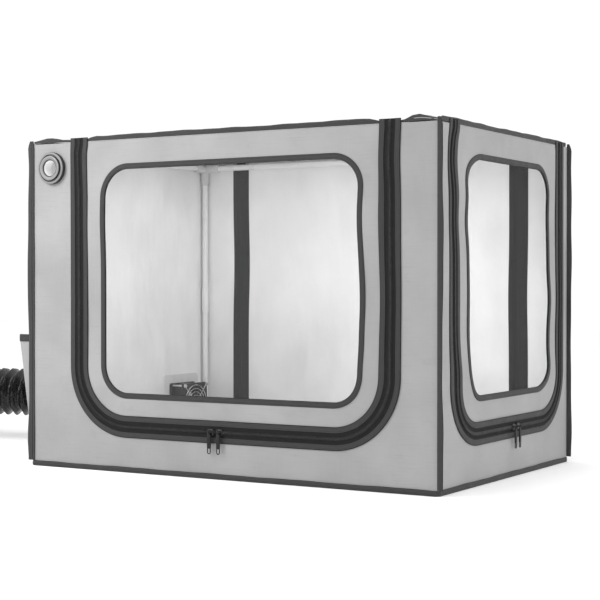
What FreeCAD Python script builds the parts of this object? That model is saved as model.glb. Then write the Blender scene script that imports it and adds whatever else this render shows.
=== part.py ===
import FreeCAD, Part
import math
import os
import re

import Sketcher
from FreeCAD import Placement, Rotation, Vector

# Printer enclosure tent: a fabric box on a tube frame, with three zipped doors, a filament port,
# a side pocket and an exhaust fan with its duct. Millimetres; the origin is the middle of the
# footprint on the ground, +X runs to the right along the front, +Y to the back and +Z up.

DIMENSIONS = {
    # The whole tent, over its bound seams.
    "width": 900, "depth": 600, "height": 640,
    # Fabric and the folded tape that binds the seams.
    "cloth": 1.2, "seam_width": 10, "seam_thick": 3,
    # Frame tubes, their corner mouldings and the sleeves that join the two halves of an upright.
    "tube_radius": 6.5, "tube_wall": 1, "frame_inset": 10.2, "socket_radius": 9.6,
    "socket_stop": 12, "socket_reach": 38, "fit_gap": 0.1,
    "sleeve_radius": 7.8, "sleeve_length": 60, "split_height": 319,
    # Zips: tape and coil each side of the slit, and the fabric edge under the tape.
    "tape_half": 20.5, "tape_thick": 1, "coil_half": 3.4, "coil_thick": 2, "slit": 0.3, "fabric_edge": 12,
    # Course of each zip from the lower left corner of its wall, seen from outside.
    "front_zip_left": 127, "front_zip_right": 800, "front_zip_bottom": 86, "front_zip_radius": 112,
    "right_zip_left": 66, "right_zip_right": 554, "right_zip_bottom": 92, "right_zip_radius": 96,
    "rear_zip_left": 113, "rear_zip_right": 787, "rear_zip_bottom": 45, "rear_zip_radius": 55,
    "door_gap": 1.8,
    # Clear windows, over their binding.
    "front_pane_left": 179, "front_pane_right": 750, "front_pane_bottom": 139, "front_pane_top": 584,
    "right_pane_left": 117, "right_pane_right": 503, "right_pane_bottom": 148, "right_pane_top": 586,
    "pane_radius": 62, "pane_binding": 10.5, "pane_binding_thick": 1.6, "pane_lap": 5, "pane_thick": 0.6,
    # Zip sliders and pulls; each pair meets at the middle of the bottom run.
    "front_slider_middle": 443, "right_slider_middle": 327, "rear_slider_middle": 450,
    "slider_pitch": 20, "slider_length": 15, "slider_width": 11.4, "slider_plate": 1.7, "slider_lift": 3.4,
    "slider_skirt": 1.4, "bail_height": 8.4, "bail_radius": 1.1, "bail_length": 9, "bail_post": 1.8,
    "pull_bore": 1.18, "pull_eye": 2.4, "pull_eye_length": 4.4, "pull_width": 8.6, "pull_thick": 1.8,
    "pull_length": 24, "pull_loop": 12, "pull_wire": 0.9,
    # Filament port near the front's upper left corner.
    "port_across": 61, "port_up": 581, "port_bore": 15, "port_barrel": 19, "port_barrel_length": 12,
    "port_step": 24, "port_step_thick": 8, "port_flange_radius": 32, "port_flange_thick": 4,
    "port_nut_radius": 27, "port_nut_thick": 4,
    # Pocket on the left wall, near the front.
    "pocket_left": 418, "pocket_right": 588, "pocket_bottom": 80, "pocket_top": 244,
    "pocket_foot": 12, "pocket_mouth": 43, "pocket_hem": 12,
    # Exhaust fan inside the left wall, near the back.
    "fan_across": 98, "fan_up": 89, "patch_size": 130, "patch_thick": 2.5, "patch_corner": 10,
    "fan_size": 92, "fan_depth": 38, "fan_flange": 5, "fan_corner": 5, "fan_barrel": 45.4, "fan_bore": 43.5,
    "fan_hole_offset": 41.25, "fan_hole": 2.3, "hub_radius": 19, "hub_plate": 3, "strut_width": 4,
    "post_radius": 4, "post_length": 20, "rotor_gap": 0.06, "rotor_lift": 1, "rotor_radius": 18.6, "rotor_depth": 28,
    "blade_tip": 41, "blade_chord": 25, "blade_thick": 1.6, "blade_pitch": 42, "blade_count": 7,
    "guard_wire": 1, "guard_rings": 5, "guard_pitch": 7.6, "guard_first": 11, "guard_eye": 3.4,
    "screw_radius": 2, "screw_head": 3.7, "screw_head_thick": 2,
    # Duct spigot outside the left wall, the hose on it and its end collar.
    "spigot_flange": 66, "spigot_flange_thick": 3, "spigot_radius": 50, "spigot_wall": 2.5, "spigot_length": 36,
    "hose_radius": 55, "hose_inside": 50.3, "hose_start": 6,
    "clamp_gap": 0.1, "clamp_thick": 1.2, "clamp_width": 9, "clamp_offset": 14, "clamp_housing": 12,
    "collar_insert": 34, "collar_rim": 56.5, "collar_rim_thick": 4, "collar_spigot": 40, "collar_gap": 0.3,
}

# Centre line of the duct hose: out of the left wall, rising a little, then down onto the ground
# and round towards the back. Each point is (x, y, z).
HOSE_ROUTE = [
    (-446, 202, 89),
    (-640, 202, 89),
    (-829, 112, 108),
    (-1022, 78, 100),
    (-1200, 116, 71),
    (-1352, 212, 58),
]
HOSE_BEND_SHARE = 0.45
HOSE_VOLUME_TOLERANCE = 0.01

doc = FreeCAD.newDocument("printer_enclosure_tent")
sheet = doc.addObject("Spreadsheet::Sheet", "dims")
for row, (alias, number) in enumerate(DIMENSIONS.items(), start=1):
    sheet.set(f"A{row}", alias)
    sheet.set(f"B{row}", str(number))
    sheet.setAlias(f"B{row}", alias)
doc.recompute()

nodes = []


# ---------------------------------------------------------------- sizes and helpers

def bound(expression):
    """The expression with every size name pointing at its cell of the sheet."""
    def cell(word):
        return "dims." + word.group() if word.group() in DIMENSIONS else word.group()
    return re.sub(r"[a-z]\w*", cell, str(expression))


def value(expression):
    return float(sheet.evalExpression(bound(expression)))


def place(x=0, y=0, z=0, rotation=Rotation()):
    return Placement(Vector(value(x), value(y), value(z)), rotation)


def node(item, label):
    """Marks an object as a finished sub-part, which gets its own file."""
    item.Label = label
    nodes.append(item)
    return item


def new_body(label, placement=Placement()):
    body = doc.addObject("PartDesign::Body", label)
    body.Placement = placement
    return node(body, label)


def new_sketch(body, height="0", plane="XY_Plane"):
    sketch = body.newObject("Sketcher::SketchObject", body.Name + "_sketch")
    support = next(item for item in body.Origin.OriginFeatures if item.Role == plane)
    sketch.AttachmentSupport = [(support, "")]
    sketch.MapMode = "FlatFace"
    sketch.AttachmentOffset = place(z=height)
    sketch.setExpression("AttachmentOffset.Base.z", bound(height))
    return sketch


def datum(sketch, kind, expression, *where):
    """A driven size of the sketch, bound to the sheet."""
    index = sketch.addConstraint(Sketcher.Constraint(kind, *where, value(expression)))
    sketch.setExpression(f"Constraints[{index}]", bound(expression))


def outline(sketch, corners):
    """Closed outline of level and upright sides; a corner is (x, y) or (x, y, radius)."""
    count = len(corners)
    points = [Vector(value(corner[0]), value(corner[1]), 0) for corner in corners]
    radii = [value(corner[2]) if len(corner) > 2 else 0.0 for corner in corners]
    ways = [(points[(i + 1) % count] - points[i]).normalize() for i in range(count)]
    lines = []
    for i in range(count):
        after = (i + 1) % count
        start = points[i] + ways[i] * radii[i]
        end = points[after] - ways[i] * radii[after]
        lines.append(sketch.addGeometry(Part.LineSegment(start, end), False))
    for i in range(count):
        level = abs(ways[i].y) < 0.5
        sketch.addConstraint(Sketcher.Constraint("Horizontal" if level else "Vertical", lines[i]))
        datum(sketch, "DistanceY" if level else "DistanceX", corners[i][1 if level else 0], -1, 1, lines[i], 1)
        if radii[i] == 0:
            sketch.addConstraint(Sketcher.Constraint("Coincident", lines[i - 1], 2, lines[i], 1))
            continue
        left_turn = ways[i - 1].cross(ways[i]).z > 0
        centre = points[i] - ways[i - 1] * radii[i] + ways[i] * radii[i]
        first = points[i] + (-ways[i - 1] if left_turn else ways[i]) * radii[i] - centre
        angle = math.atan2(first.y, first.x)
        circle = Part.Circle(centre, Vector(0, 0, 1), radii[i])
        arc = sketch.addGeometry(Part.ArcOfCircle(circle, angle, angle + math.pi / 2), False)
        sketch.addConstraint(Sketcher.Constraint("Tangent", lines[i - 1], 2, arc, 1 if left_turn else 2))
        sketch.addConstraint(Sketcher.Constraint("Tangent", lines[i], 1, arc, 2 if left_turn else 1))
        datum(sketch, "Radius", corners[i][2], arc)


def rectangle(sketch, left, bottom, right, top, radius=None):
    corner = () if radius is None else (radius,)
    outline(sketch, [(left, bottom, *corner), (right, bottom, *corner), (right, top, *corner), (left, top, *corner)])


def circle(sketch, x, y, radius):
    shape = Part.Circle(Vector(value(x), value(y), 0), Vector(0, 0, 1), value(radius))
    index = sketch.addGeometry(shape, False)
    datum(sketch, "DistanceX", x, -1, 1, index, 3)
    datum(sketch, "DistanceY", y, -1, 1, index, 3)
    datum(sketch, "Radius", radius, index)


def polygon(sketch, corners):
    """Closed outline of straight sides through corners given as (x, y)."""
    count = len(corners)
    points = [Vector(value(x), value(y), 0) for x, y in corners]
    lines = [sketch.addGeometry(Part.LineSegment(points[i], points[(i + 1) % count]), False) for i in range(count)]
    for i in range(count):
        sketch.addConstraint(Sketcher.Constraint("Coincident", lines[i - 1], 2, lines[i], 1))
        datum(sketch, "DistanceX", corners[i][0], -1, 1, lines[i], 1)
        datum(sketch, "DistanceY", corners[i][1], -1, 1, lines[i], 1)


def pad(body, sketch, length):
    feature = body.newObject("PartDesign::Pad", body.Name + "_pad")
    feature.Profile = sketch
    feature.setExpression("Length", bound(length))
    return feature


def pad_outline(body, height, thick, corners, holes=()):
    """Pads an outline from the given height; holes are round, each (x, y, radius)."""
    sketch = new_sketch(body, height)
    outline(sketch, corners)
    for hole in holes:
        circle(sketch, *hole)
    return pad(body, sketch, thick)


def pad_ring(body, height, thick, x, y, outer, inner=None):
    sketch = new_sketch(body, height)
    circle(sketch, x, y, outer)
    if inner is not None:
        circle(sketch, x, y, inner)
    return pad(body, sketch, thick)


def primitive(kind, name, placement=Placement(), **sizes):
    item = doc.addObject("Part::" + kind, name)
    item.Placement = placement
    for size, expression in sizes.items():
        item.setExpression(size, bound(expression))
    return item


def fuse(name, items):
    union = doc.addObject("Part::MultiFuse", name)
    union.Shapes = items
    return union


def cut(name, base, tool):
    difference = doc.addObject("Part::Cut", name)
    difference.Base = base
    difference.Tool = tool
    return difference


def four_corners(label, source):
    """The source and its mirror images in the other three corners of the tent, as one node."""
    group = source
    for step, normal in enumerate((Vector(1, 0, 0), Vector(0, 1, 0))):
        image = doc.addObject("Part::Mirroring", f"{label}_mirror_{step}")
        image.Source = group
        image.Normal = normal
        group = fuse(f"{label}_set_{step}", [group, image])
    return node(group, label)


# ---------------------------------------------------------------- places

# A wall's own frame: x along the wall seen from outside, y up, z outward, from its lower left corner.
UPRIGHT = Rotation(Vector(1, 0, 0), 90)
SIDE_X = "(width / 2 - seam_width)"
SIDE_Y = "(depth / 2 - seam_thick)"
WALLS = {
    "front": ("-width / 2", f"-{SIDE_Y}", 0),
    "right": (SIDE_X, "-depth / 2", 90),
    "rear": ("width / 2", SIDE_Y, 180),
    "left": (f"-{SIDE_X}", "depth / 2", 270),
}


def wall_place(side):
    x, y, turn = WALLS[side]
    return place(x, y, 0, Rotation(Vector(0, 0, 1), turn) * UPRIGHT)


WALL_TOP = "(height - seam_width - cloth)"
DOOR_TOP = f"({WALL_TOP} - door_gap)"
# First and last x of a wall's fabric: the long walls cover the edges of the short ones.
WALL_SPAN = {
    "front": ("seam_width", "width - seam_width"),
    "rear": ("seam_width", "width - seam_width"),
    "right": ("seam_thick + cloth", "depth - seam_thick - cloth"),
    "left": ("seam_thick + cloth", "depth - seam_thick - cloth"),
}
DOOR_SIDES = ("front", "right", "rear")
WINDOW_SIDES = ("front", "right")


# ---------------------------------------------------------------- fabric shell

def door_wall(side):
    """A wall with a door opening that follows the zip, just outside its slit."""
    left, right = WALL_SPAN[side]
    body = new_body(f"{side}_wall", wall_place(side))
    low = f"{side}_zip_bottom - fabric_edge"
    near = f"{side}_zip_left - fabric_edge"
    far = f"{side}_zip_right + fabric_edge"
    bend = f"{side}_zip_radius + fabric_edge"
    corners = [
        (left, "cloth"), (right, "cloth"), (right, WALL_TOP), (far, WALL_TOP),
        (far, low, bend), (near, low, bend), (near, WALL_TOP), (left, WALL_TOP),
    ]
    holes = [("port_across", "port_up", "port_barrel + 2 * fit_gap")] if side == "front" else []
    pad_outline(body, "-cloth", "cloth", corners, holes)


def left_wall():
    left, right = WALL_SPAN["left"]
    body = new_body("left_wall", wall_place("left"))
    corners = [(left, "cloth"), (right, "cloth"), (right, WALL_TOP), (left, WALL_TOP)]
    pad_outline(body, "-cloth", "cloth", corners, [("fan_across", "fan_up", "fan_bore")])


def level_panel(label, height):
    """Roof or floor fabric: a level sheet between the four walls' outer faces."""
    body = new_body(label, place(f"-{SIDE_X}", f"-{SIDE_Y}", height))
    far_x = f"2 * {SIDE_X}"
    far_y = f"2 * {SIDE_Y}"
    pad_outline(body, "0", "cloth", [("0", "0"), (far_x, "0"), (far_x, far_y), ("0", far_y)])


def seam_ring(label, height, half_x, half_y, thick, tall):
    """Bound seam round the roof or the floor: a closed upright strip."""
    body = new_body(label, place(f"-({half_x})", f"-({half_y})", height))
    far_x = f"2 * ({half_x})"
    far_y = f"2 * ({half_y})"
    sketch = new_sketch(body)
    rectangle(sketch, "0", "0", far_x, far_y)
    rectangle(sketch, thick, thick, f"{far_x} - {thick}", f"{far_y} - {thick}")
    pad(body, sketch, tall)


def corner_seams():
    """Bound seams of the four upright edges, standing out sideways in line with the long walls."""
    strip = primitive(
        "Box", "corner_strip", place(SIDE_X, f"{SIDE_Y} - seam_thick", "seam_width"),
        Length="seam_width", Width="seam_thick", Height="height - seam_width")
    four_corners("corner_piping", strip)


for wall_side in DOOR_SIDES:
    door_wall(wall_side)
left_wall()
level_panel("floor_panel", "0")
level_panel("roof_panel", WALL_TOP)
seam_ring("top_piping", "height - seam_width", SIDE_X, SIDE_Y, "seam_thick", "seam_width")
seam_ring("bottom_piping", "0", f"{SIDE_X} + seam_thick", f"{SIDE_Y} + seam_thick", "seam_thick", "seam_width")
corner_seams()


# ---------------------------------------------------------------- tube frame

FRAME_X = f"({SIDE_X} - cloth - frame_inset)"
FRAME_Y = f"({SIDE_Y} - cloth - frame_inset)"
FRAME_LOW = "(cloth + frame_inset)"
FRAME_HIGH = f"({WALL_TOP} - frame_inset)"
SOCKET_BORE = "tube_radius + fit_gap"
TURN_TO = {
    "-x": Rotation(Vector(0, 1, 0), -90),
    "-y": Rotation(Vector(1, 0, 0), 90),
    "-z": Rotation(Vector(1, 0, 0), 180),
    "+z": Rotation(),
    "+x": Rotation(Vector(0, 1, 0), 90),
}


def corner_mouldings(label, height, upright_way):
    """Three-way corner moulding: a ball with a blind socket for each of three tubes."""
    centre = Vector(value(FRAME_X), value(FRAME_Y), value(height))
    ball = primitive("Sphere", f"{label}_ball", Placement(centre, Rotation()), Radius="socket_radius")
    solids = [ball]
    bores = []
    for way in ("-x", "-y", upright_way):
        turn = TURN_TO[way]
        inset = turn.multVec(Vector(0, 0, value("socket_stop")))
        solids.append(primitive(
            "Cylinder", f"{label}_socket", Placement(centre, turn), Radius="socket_radius", Height="socket_reach"))
        bores.append(primitive(
            "Cylinder", f"{label}_bore", Placement(centre + inset, turn), Radius=SOCKET_BORE, Height="socket_reach"))
    moulding = cut(f"{label}_corner", fuse(f"{label}_solid", solids), fuse(f"{label}_bores", bores))
    four_corners(label, moulding)


def tube(label, placement, length):
    body = new_body(label, placement)
    pad_ring(body, "0", length, "0", "0", "tube_radius", "tube_radius - tube_wall")


def rails(level, height):
    """The four level tubes of the roof or floor frame."""
    long_reach = f"({FRAME_X} - socket_stop)"
    short_reach = f"({FRAME_Y} - socket_stop)"
    for side, sign in (("front", "-"), ("rear", "")):
        spot = place(f"-{long_reach}", f"{sign}{FRAME_Y}", height, TURN_TO["+x"])
        tube(f"{side}_{level}_rail", spot, f"2 * {long_reach}")
    for side, sign in (("left", "-"), ("right", "")):
        spot = place(f"{sign}{FRAME_X}", short_reach, height, TURN_TO["-y"])
        tube(f"{side}_{level}_rail", spot, f"2 * {short_reach}")


def upright_set(label, low, high, outer, inner):
    """A length of tube standing in each of the four corners."""
    spot = place(FRAME_X, FRAME_Y, low)
    length = f"{high} - ({low})"
    solid = primitive("Cylinder", f"{label}_outside", spot, Radius=outer, Height=length)
    bore = primitive("Cylinder", f"{label}_inside", spot, Radius=inner, Height=length)
    four_corners(label, cut(f"{label}_tube", solid, bore))


corner_mouldings("bottom_connectors", FRAME_LOW, "+z")
corner_mouldings("top_connectors", FRAME_HIGH, "-z")
rails("bottom", FRAME_LOW)
rails("top", FRAME_HIGH)
tube_inside = "tube_radius - tube_wall"
upright_set("lower_uprights", f"{FRAME_LOW} + socket_stop", "split_height", "tube_radius", tube_inside)
upright_set("upper_uprights", "split_height", f"{FRAME_HIGH} - socket_stop", "tube_radius", tube_inside)
upright_set("upright_sleeves", "split_height - sleeve_length / 2", "split_height + sleeve_length / 2",
            "sleeve_radius", SOCKET_BORE)


# ---------------------------------------------------------------- doors, windows and zips

def zip_band(body, side, inner, outer, height, thick):
    """Strip along a zip's course, between two distances outside its centre line."""
    def edge(offset):
        return (f"{side}_zip_left - ({offset})", f"{side}_zip_right + ({offset})",
                f"{side}_zip_bottom - ({offset})", f"{side}_zip_radius + ({offset})")
    left_out, right_out, low_out, bend_out = edge(outer)
    left_in, right_in, low_in, bend_in = edge(inner)
    corners = [
        (left_out, DOOR_TOP), (left_out, low_out, bend_out), (right_out, low_out, bend_out), (right_out, DOOR_TOP),
        (right_in, DOOR_TOP), (right_in, low_in, bend_in), (left_in, low_in, bend_in), (left_in, DOOR_TOP),
    ]
    pad_outline(body, height, thick, corners)


def zip_tapes(side):
    """Half of the zip on the wall and half on the door: a flat tape and its row of coil."""
    cover = new_body(f"{side}_zip_outer", wall_place(side))
    zip_band(cover, side, "slit", "tape_half", "0", "tape_thick")
    zip_band(cover, side, "slit", "coil_half", "tape_thick", "coil_thick")
    flap = new_body(f"{side}_zip_inner", wall_place(side))
    zip_band(flap, side, "-tape_half", "-slit", "0", "tape_thick")
    zip_band(flap, side, "-coil_half", "-slit", "tape_thick", "coil_thick")


def pane_edge(side, inset):
    """Lower left and upper right corners and corner radius of a window, drawn in by an inset."""
    return (f"{side}_pane_left + {inset}", f"{side}_pane_bottom + {inset}",
            f"{side}_pane_right - {inset}", f"{side}_pane_top - {inset}", f"pane_radius - {inset}")


def door_panel(side):
    body = new_body(f"{side}_door", wall_place(side))
    near = f"{side}_zip_left + fabric_edge"
    far = f"{side}_zip_right - fabric_edge"
    low = f"{side}_zip_bottom + fabric_edge"
    bend = f"{side}_zip_radius - fabric_edge"
    sketch = new_sketch(body, "-cloth")
    outline(sketch, [(near, DOOR_TOP), (near, low, bend), (far, low, bend), (far, DOOR_TOP)])
    if side in WINDOW_SIDES:
        rectangle(sketch, *pane_edge(side, "pane_lap"))
    pad(body, sketch, "cloth")


def window(side):
    film = new_body(f"{side}_window", wall_place(side))
    sketch = new_sketch(film, "-cloth - pane_thick")
    rectangle(sketch, *pane_edge(side, "slit"))
    pad(film, sketch, "pane_thick")
    binding = new_body(f"{side}_window_binding", wall_place(side))
    sketch = new_sketch(binding)
    rectangle(sketch, *pane_edge(side, "slit"))
    rectangle(sketch, *pane_edge(side, "pane_binding"))
    pad(binding, sketch, "pane_binding_thick")


def slider(side, hand, along):
    """Zip slider: a top plate with skirts each side of the coil and a bail for the pull."""
    body = new_body(f"{side}_slider_{hand}", wall_place(side))
    up = f"{side}_zip_bottom"
    near = f"{along} - slider_length / 2"
    far = f"{along} + slider_length / 2"
    half = "slider_width / 2"
    top = "(slider_lift + slider_plate)"
    pad_outline(body, "slider_lift", "slider_plate", [
        (near, f"{up} - {half}", "slider_skirt"), (far, f"{up} - {half}", "slider_skirt"),
        (far, f"{up} + {half}", "slider_skirt"), (near, f"{up} + {half}", "slider_skirt")])
    for low, high in ((f"{up} - {half}", f"{up} - {half} + slider_skirt"),
                      (f"{up} + {half} - slider_skirt", f"{up} + {half}")):
        skirt = new_sketch(body, "tape_thick + slit")
        rectangle(skirt, f"{near} + slider_skirt", low, f"{far} - slider_skirt", high)
        pad(body, skirt, "slider_lift + slider_plate / 2 - tape_thick - slit")
    for end in (f"{along} - bail_length / 2", f"{along} + bail_length / 2 - bail_post"):
        post = new_sketch(body, f"{top} - slit")
        rectangle(post, end, f"{up} - bail_radius", f"{end} + bail_post", f"{up} + bail_radius")
        pad(body, post, f"bail_height + bail_radius - {top} + slit")
    bar = new_sketch(body, f"{along} - bail_length / 2", "YZ_Plane")
    circle(bar, up, "bail_height", "bail_radius")
    pad(body, bar, "bail_length")


def pull(side, hand, along):
    """Pull tab hanging from the bail, with an open wire loop at its lower end."""
    body = new_body(f"{side}_pull_{hand}", wall_place(side))
    up = f"{side}_zip_bottom"
    eye = new_sketch(body, f"{along} - pull_eye_length / 2", "YZ_Plane")
    circle(eye, up, "bail_height", "pull_eye")
    circle(eye, up, "bail_height", "pull_bore")
    pad(body, eye, "pull_eye_length")
    half = "pull_width / 2"
    level = "bail_height - pull_thick / 2"
    neck = new_sketch(body, level)
    rectangle(neck, f"{along} - pull_eye_length / 2", f"{up} - pull_eye - 2 * pull_thick",
              f"{along} + pull_eye_length / 2", f"{up} - (pull_bore + pull_eye) / 2")
    pad(body, neck, "pull_thick")
    top = f"{up} - pull_eye - pull_thick"
    pad_outline(body, level, "pull_thick", [
        (f"{along} - {half}", f"{top} - pull_length", "pull_thick"),
        (f"{along} + {half}", f"{top} - pull_length", "pull_thick"),
        (f"{along} + {half}", top, "pull_thick"), (f"{along} - {half}", top, "pull_thick")])
    loop = new_sketch(body, "bail_height - pull_wire")
    low = f"{top} - pull_length - pull_loop"
    rectangle(loop, f"{along} - {half} + pull_wire", low, f"{along} + {half} - pull_wire",
              f"{top} - pull_length + pull_wire", f"{half} - 2 * pull_wire")
    inset = "3 * pull_wire"
    rectangle(loop, f"{along} - {half} + {inset}", f"{low} + 2 * pull_wire", f"{along} + {half} - {inset}",
              f"{top} - pull_length - pull_wire", "pull_wire")
    pad(body, loop, "2 * pull_wire")


for wall_side in DOOR_SIDES:
    zip_tapes(wall_side)
    door_panel(wall_side)
    for hand_name, sign_text in (("left", "-"), ("right", "+")):
        spot_along = f"{wall_side}_slider_middle {sign_text} slider_pitch / 2"
        slider(wall_side, hand_name, spot_along)
        pull(wall_side, hand_name, spot_along)
for wall_side in WINDOW_SIDES:
    window(wall_side)


# ---------------------------------------------------------------- filament port

def filament_port():
    flange = new_body("port_flange", wall_place("front"))
    spot = ("port_across", "port_up")
    pad_ring(flange, "0", "port_flange_thick", *spot, "port_flange_radius", "port_bore")
    pad_ring(flange, "port_flange_thick", "port_step_thick - port_flange_thick", *spot, "port_step", "port_bore")
    pad_ring(flange, "-port_barrel_length", "port_barrel_length", *spot, "port_barrel", "port_bore")
    nut = new_body("port_nut", wall_place("front"))
    pad_ring(nut, "-cloth - port_nut_thick", "port_nut_thick", *spot, "port_nut_radius", "port_barrel + fit_gap")


filament_port()


# ---------------------------------------------------------------- side pocket

def side_pocket():
    """Bellows pocket: narrow at its foot, open and deeper at its mouth, with a bound mouth."""
    body = new_body("side_pocket", wall_place("left"))
    profile = new_sketch(body, "pocket_left", "YZ_Plane")
    polygon(profile, [("pocket_bottom", "0"), ("pocket_top", "0"),
                      ("pocket_top", "pocket_mouth"), ("pocket_bottom", "pocket_foot")])
    pad(body, profile, "pocket_right - pocket_left")
    doc.recompute()
    room = new_sketch(body, "pocket_left + cloth", "YZ_Plane")
    taper = "(pocket_mouth - pocket_foot) / (pocket_top - pocket_bottom)"
    polygon(room, [("pocket_bottom + cloth", "-cloth"), ("pocket_top + cloth", "-cloth"),
                   ("pocket_top + cloth", f"pocket_mouth - cloth + {taper} * cloth"),
                   ("pocket_bottom + cloth", f"pocket_foot - cloth + {taper} * cloth")])
    hollow = body.newObject("PartDesign::Pocket", "side_pocket_room")
    hollow.Profile = room
    hollow.Reversed = True
    hollow.setExpression("Length", bound("pocket_right - pocket_left - 2 * cloth"))
    binding = new_body("pocket_binding", wall_place("left") * Placement(
        Vector(0, value("pocket_top + pocket_hem"), 0), UPRIGHT))
    front = "pocket_mouth + seam_thick / 2"
    hem = new_sketch(binding)
    outline(hem, [
        ("pocket_left", "slit"), ("pocket_left + seam_thick", "slit"),
        ("pocket_left + seam_thick", f"{front} - seam_thick"), ("pocket_right - seam_thick", f"{front} - seam_thick"),
        ("pocket_right - seam_thick", "slit"), ("pocket_right", "slit"), ("pocket_right", front),
        ("pocket_left", front)])
    pad(binding, hem, "pocket_hem")


side_pocket()


# ---------------------------------------------------------------- exhaust fan

FAN = ("fan_across", "fan_up")
FAN_BACK = "(-cloth - patch_thick)"
FAN_FRONT = f"({FAN_BACK} - fan_depth)"


def square_about(x, y, size, radius):
    near_x, far_x = f"{x} - {size} / 2", f"{x} + {size} / 2"
    near_y, far_y = f"{y} - {size} / 2", f"{y} + {size} / 2"
    return [(near_x, near_y, radius), (far_x, near_y, radius), (far_x, far_y, radius), (near_x, far_y, radius)]


def fan_corners():
    for across in ("-", "+"):
        for up in ("-", "+"):
            yield f"fan_across {across} fan_hole_offset", f"fan_up {up} fan_hole_offset"


def fan_patch():
    """Stiff patch that spreads the fan's weight over the fabric."""
    body = new_body("fan_mount_plate", wall_place("left"))
    holes = [(*FAN, "fan_bore")] + [(x, y, "fan_hole") for x, y in fan_corners()]
    pad_outline(body, FAN_BACK, "patch_thick", square_about(*FAN, "patch_size", "patch_corner"), holes)


def fan_frame():
    """Square flanges joined by a round barrel, with a motor base on four struts at the outlet."""
    body = new_body("fan_frame", wall_place("left"))
    holes = [(*FAN, "fan_bore")] + [(x, y, "fan_hole") for x, y in fan_corners()]
    flange = square_about(*FAN, "fan_size", "fan_corner")
    pad_outline(body, FAN_FRONT, "fan_flange", flange, holes)
    pad_ring(body, f"{FAN_FRONT} + fan_flange", "fan_depth - 2 * fan_flange", *FAN, "fan_barrel", "fan_bore")
    pad_outline(body, f"{FAN_BACK} - fan_flange", "fan_flange", flange, holes)
    half = "strut_width / 2"
    reach = "fan_bore + fan_flange / 5"
    base = f"{FAN_BACK} - hub_plate"
    for across, up in ((reach, half), (half, reach)):
        struts = new_sketch(body, base)
        rectangle(struts, f"fan_across - ({across})", f"fan_up - ({up})",
                  f"fan_across + {across}", f"fan_up + {up}")
        pad(body, struts, "hub_plate")
    pad_ring(body, base, "hub_plate", *FAN, "hub_radius")
    pad_ring(body, f"{base} - post_length", "post_length", *FAN, "post_radius")


def fan_rotor():
    """Cup-shaped hub that turns on the motor post, with pitched blades round it."""
    centre = place("fan_across", "fan_up", f"{FAN_BACK} - hub_plate - rotor_lift - rotor_depth")
    body = new_body("fan_rotor", wall_place("left") * centre)
    pad_ring(body, "0", "rotor_depth", "0", "0", "rotor_radius", "post_radius + rotor_gap")
    pad_ring(body, "0", "rotor_depth - post_length", "0", "0", "post_radius + 2 * rotor_gap")
    blade = body.newObject("PartDesign::AdditiveBox", "fan_blade")
    pitch = Rotation(Vector(1, 0, 0), value("blade_pitch"))
    middle = Vector(0, -value("blade_chord") / 2, -value("blade_thick") / 2)
    lift = Vector(value("rotor_radius - blade_thick"), 0, value("rotor_depth") / 2)
    blade.Placement = Placement(lift + pitch.multVec(middle), pitch)
    blade.setExpression("Length", bound("blade_tip - rotor_radius + blade_thick"))
    blade.setExpression("Width", bound("blade_chord"))
    blade.setExpression("Height", bound("blade_thick"))
    doc.recompute()
    fan = body.newObject("PartDesign::PolarPattern", "fan_blades")
    fan.Originals = [blade]
    fan.Axis = (next(item for item in body.Origin.OriginFeatures if item.Role == "Z_Axis"), [""])
    fan.Angle = 360
    fan.setExpression("Occurrences", bound("blade_count"))
    body.Tip = fan


def fan_guard():
    """Wire finger guard: level rings on two crossed pairs of arms that end in screw eyes."""
    level = f"{FAN_FRONT} - guard_wire"
    centre = wall_place("left") * place("fan_across", "fan_up", level)
    wires = []
    for step in range(round(value("guard_rings"))):
        wires.append(primitive(
            "Torus", "guard_ring", centre, Radius1=f"guard_first + {step} * guard_pitch", Radius2="guard_wire"))
    reach = f"fan_hole_offset * {math.sqrt(2)}"
    for turn in (45, 135, 225, 315):
        arm_way = Placement(Vector(), Rotation(Vector(0, 0, 1), turn)) * Placement(Vector(), TURN_TO["+x"])
        wires.append(primitive(
            "Cylinder", "guard_arm", centre * arm_way, Radius="guard_wire", Height=f"{reach} - guard_eye"))
        eye_spot = Rotation(Vector(0, 0, 1), turn).multVec(Vector(value(reach), 0, 0))
        wires.append(primitive(
            "Torus", "guard_eye_ring", centre * Placement(eye_spot, Rotation()),
            Radius1="guard_eye", Radius2="guard_wire"))
    node(fuse("fan_guard_wires", wires), "fan_guard")


def fan_screws():
    """Four pan-head screws through the guard's eyes, the frame and the patch."""
    parts = []
    for x, y in fan_corners():
        head_level = f"{FAN_FRONT} - 2 * guard_wire - screw_head_thick"
        head = primitive("Cylinder", "screw_cap", wall_place("left") * place(x, y, head_level),
                         Radius="screw_head", Height="screw_head_thick")
        shank = primitive("Cylinder", "screw_shank", wall_place("left") * place(x, y, head_level),
                          Radius="screw_radius", Height="screw_head_thick + 2 * guard_wire + fan_depth + patch_thick")
        parts.append(fuse("fan_screw", [head, shank]))
    node(fuse("fan_screw_set", parts), "fan_screws")


fan_patch()
fan_frame()
fan_rotor()
fan_guard()
fan_screws()


# ---------------------------------------------------------------- exhaust duct

def duct_spigot():
    body = new_body("duct_spigot", wall_place("left"))
    inside = "spigot_radius - spigot_wall"
    pad_ring(body, "0", "spigot_flange_thick", *FAN, "spigot_flange", inside)
    pad_ring(body, "spigot_flange_thick", "spigot_length", *FAN, "spigot_radius", inside)


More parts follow.
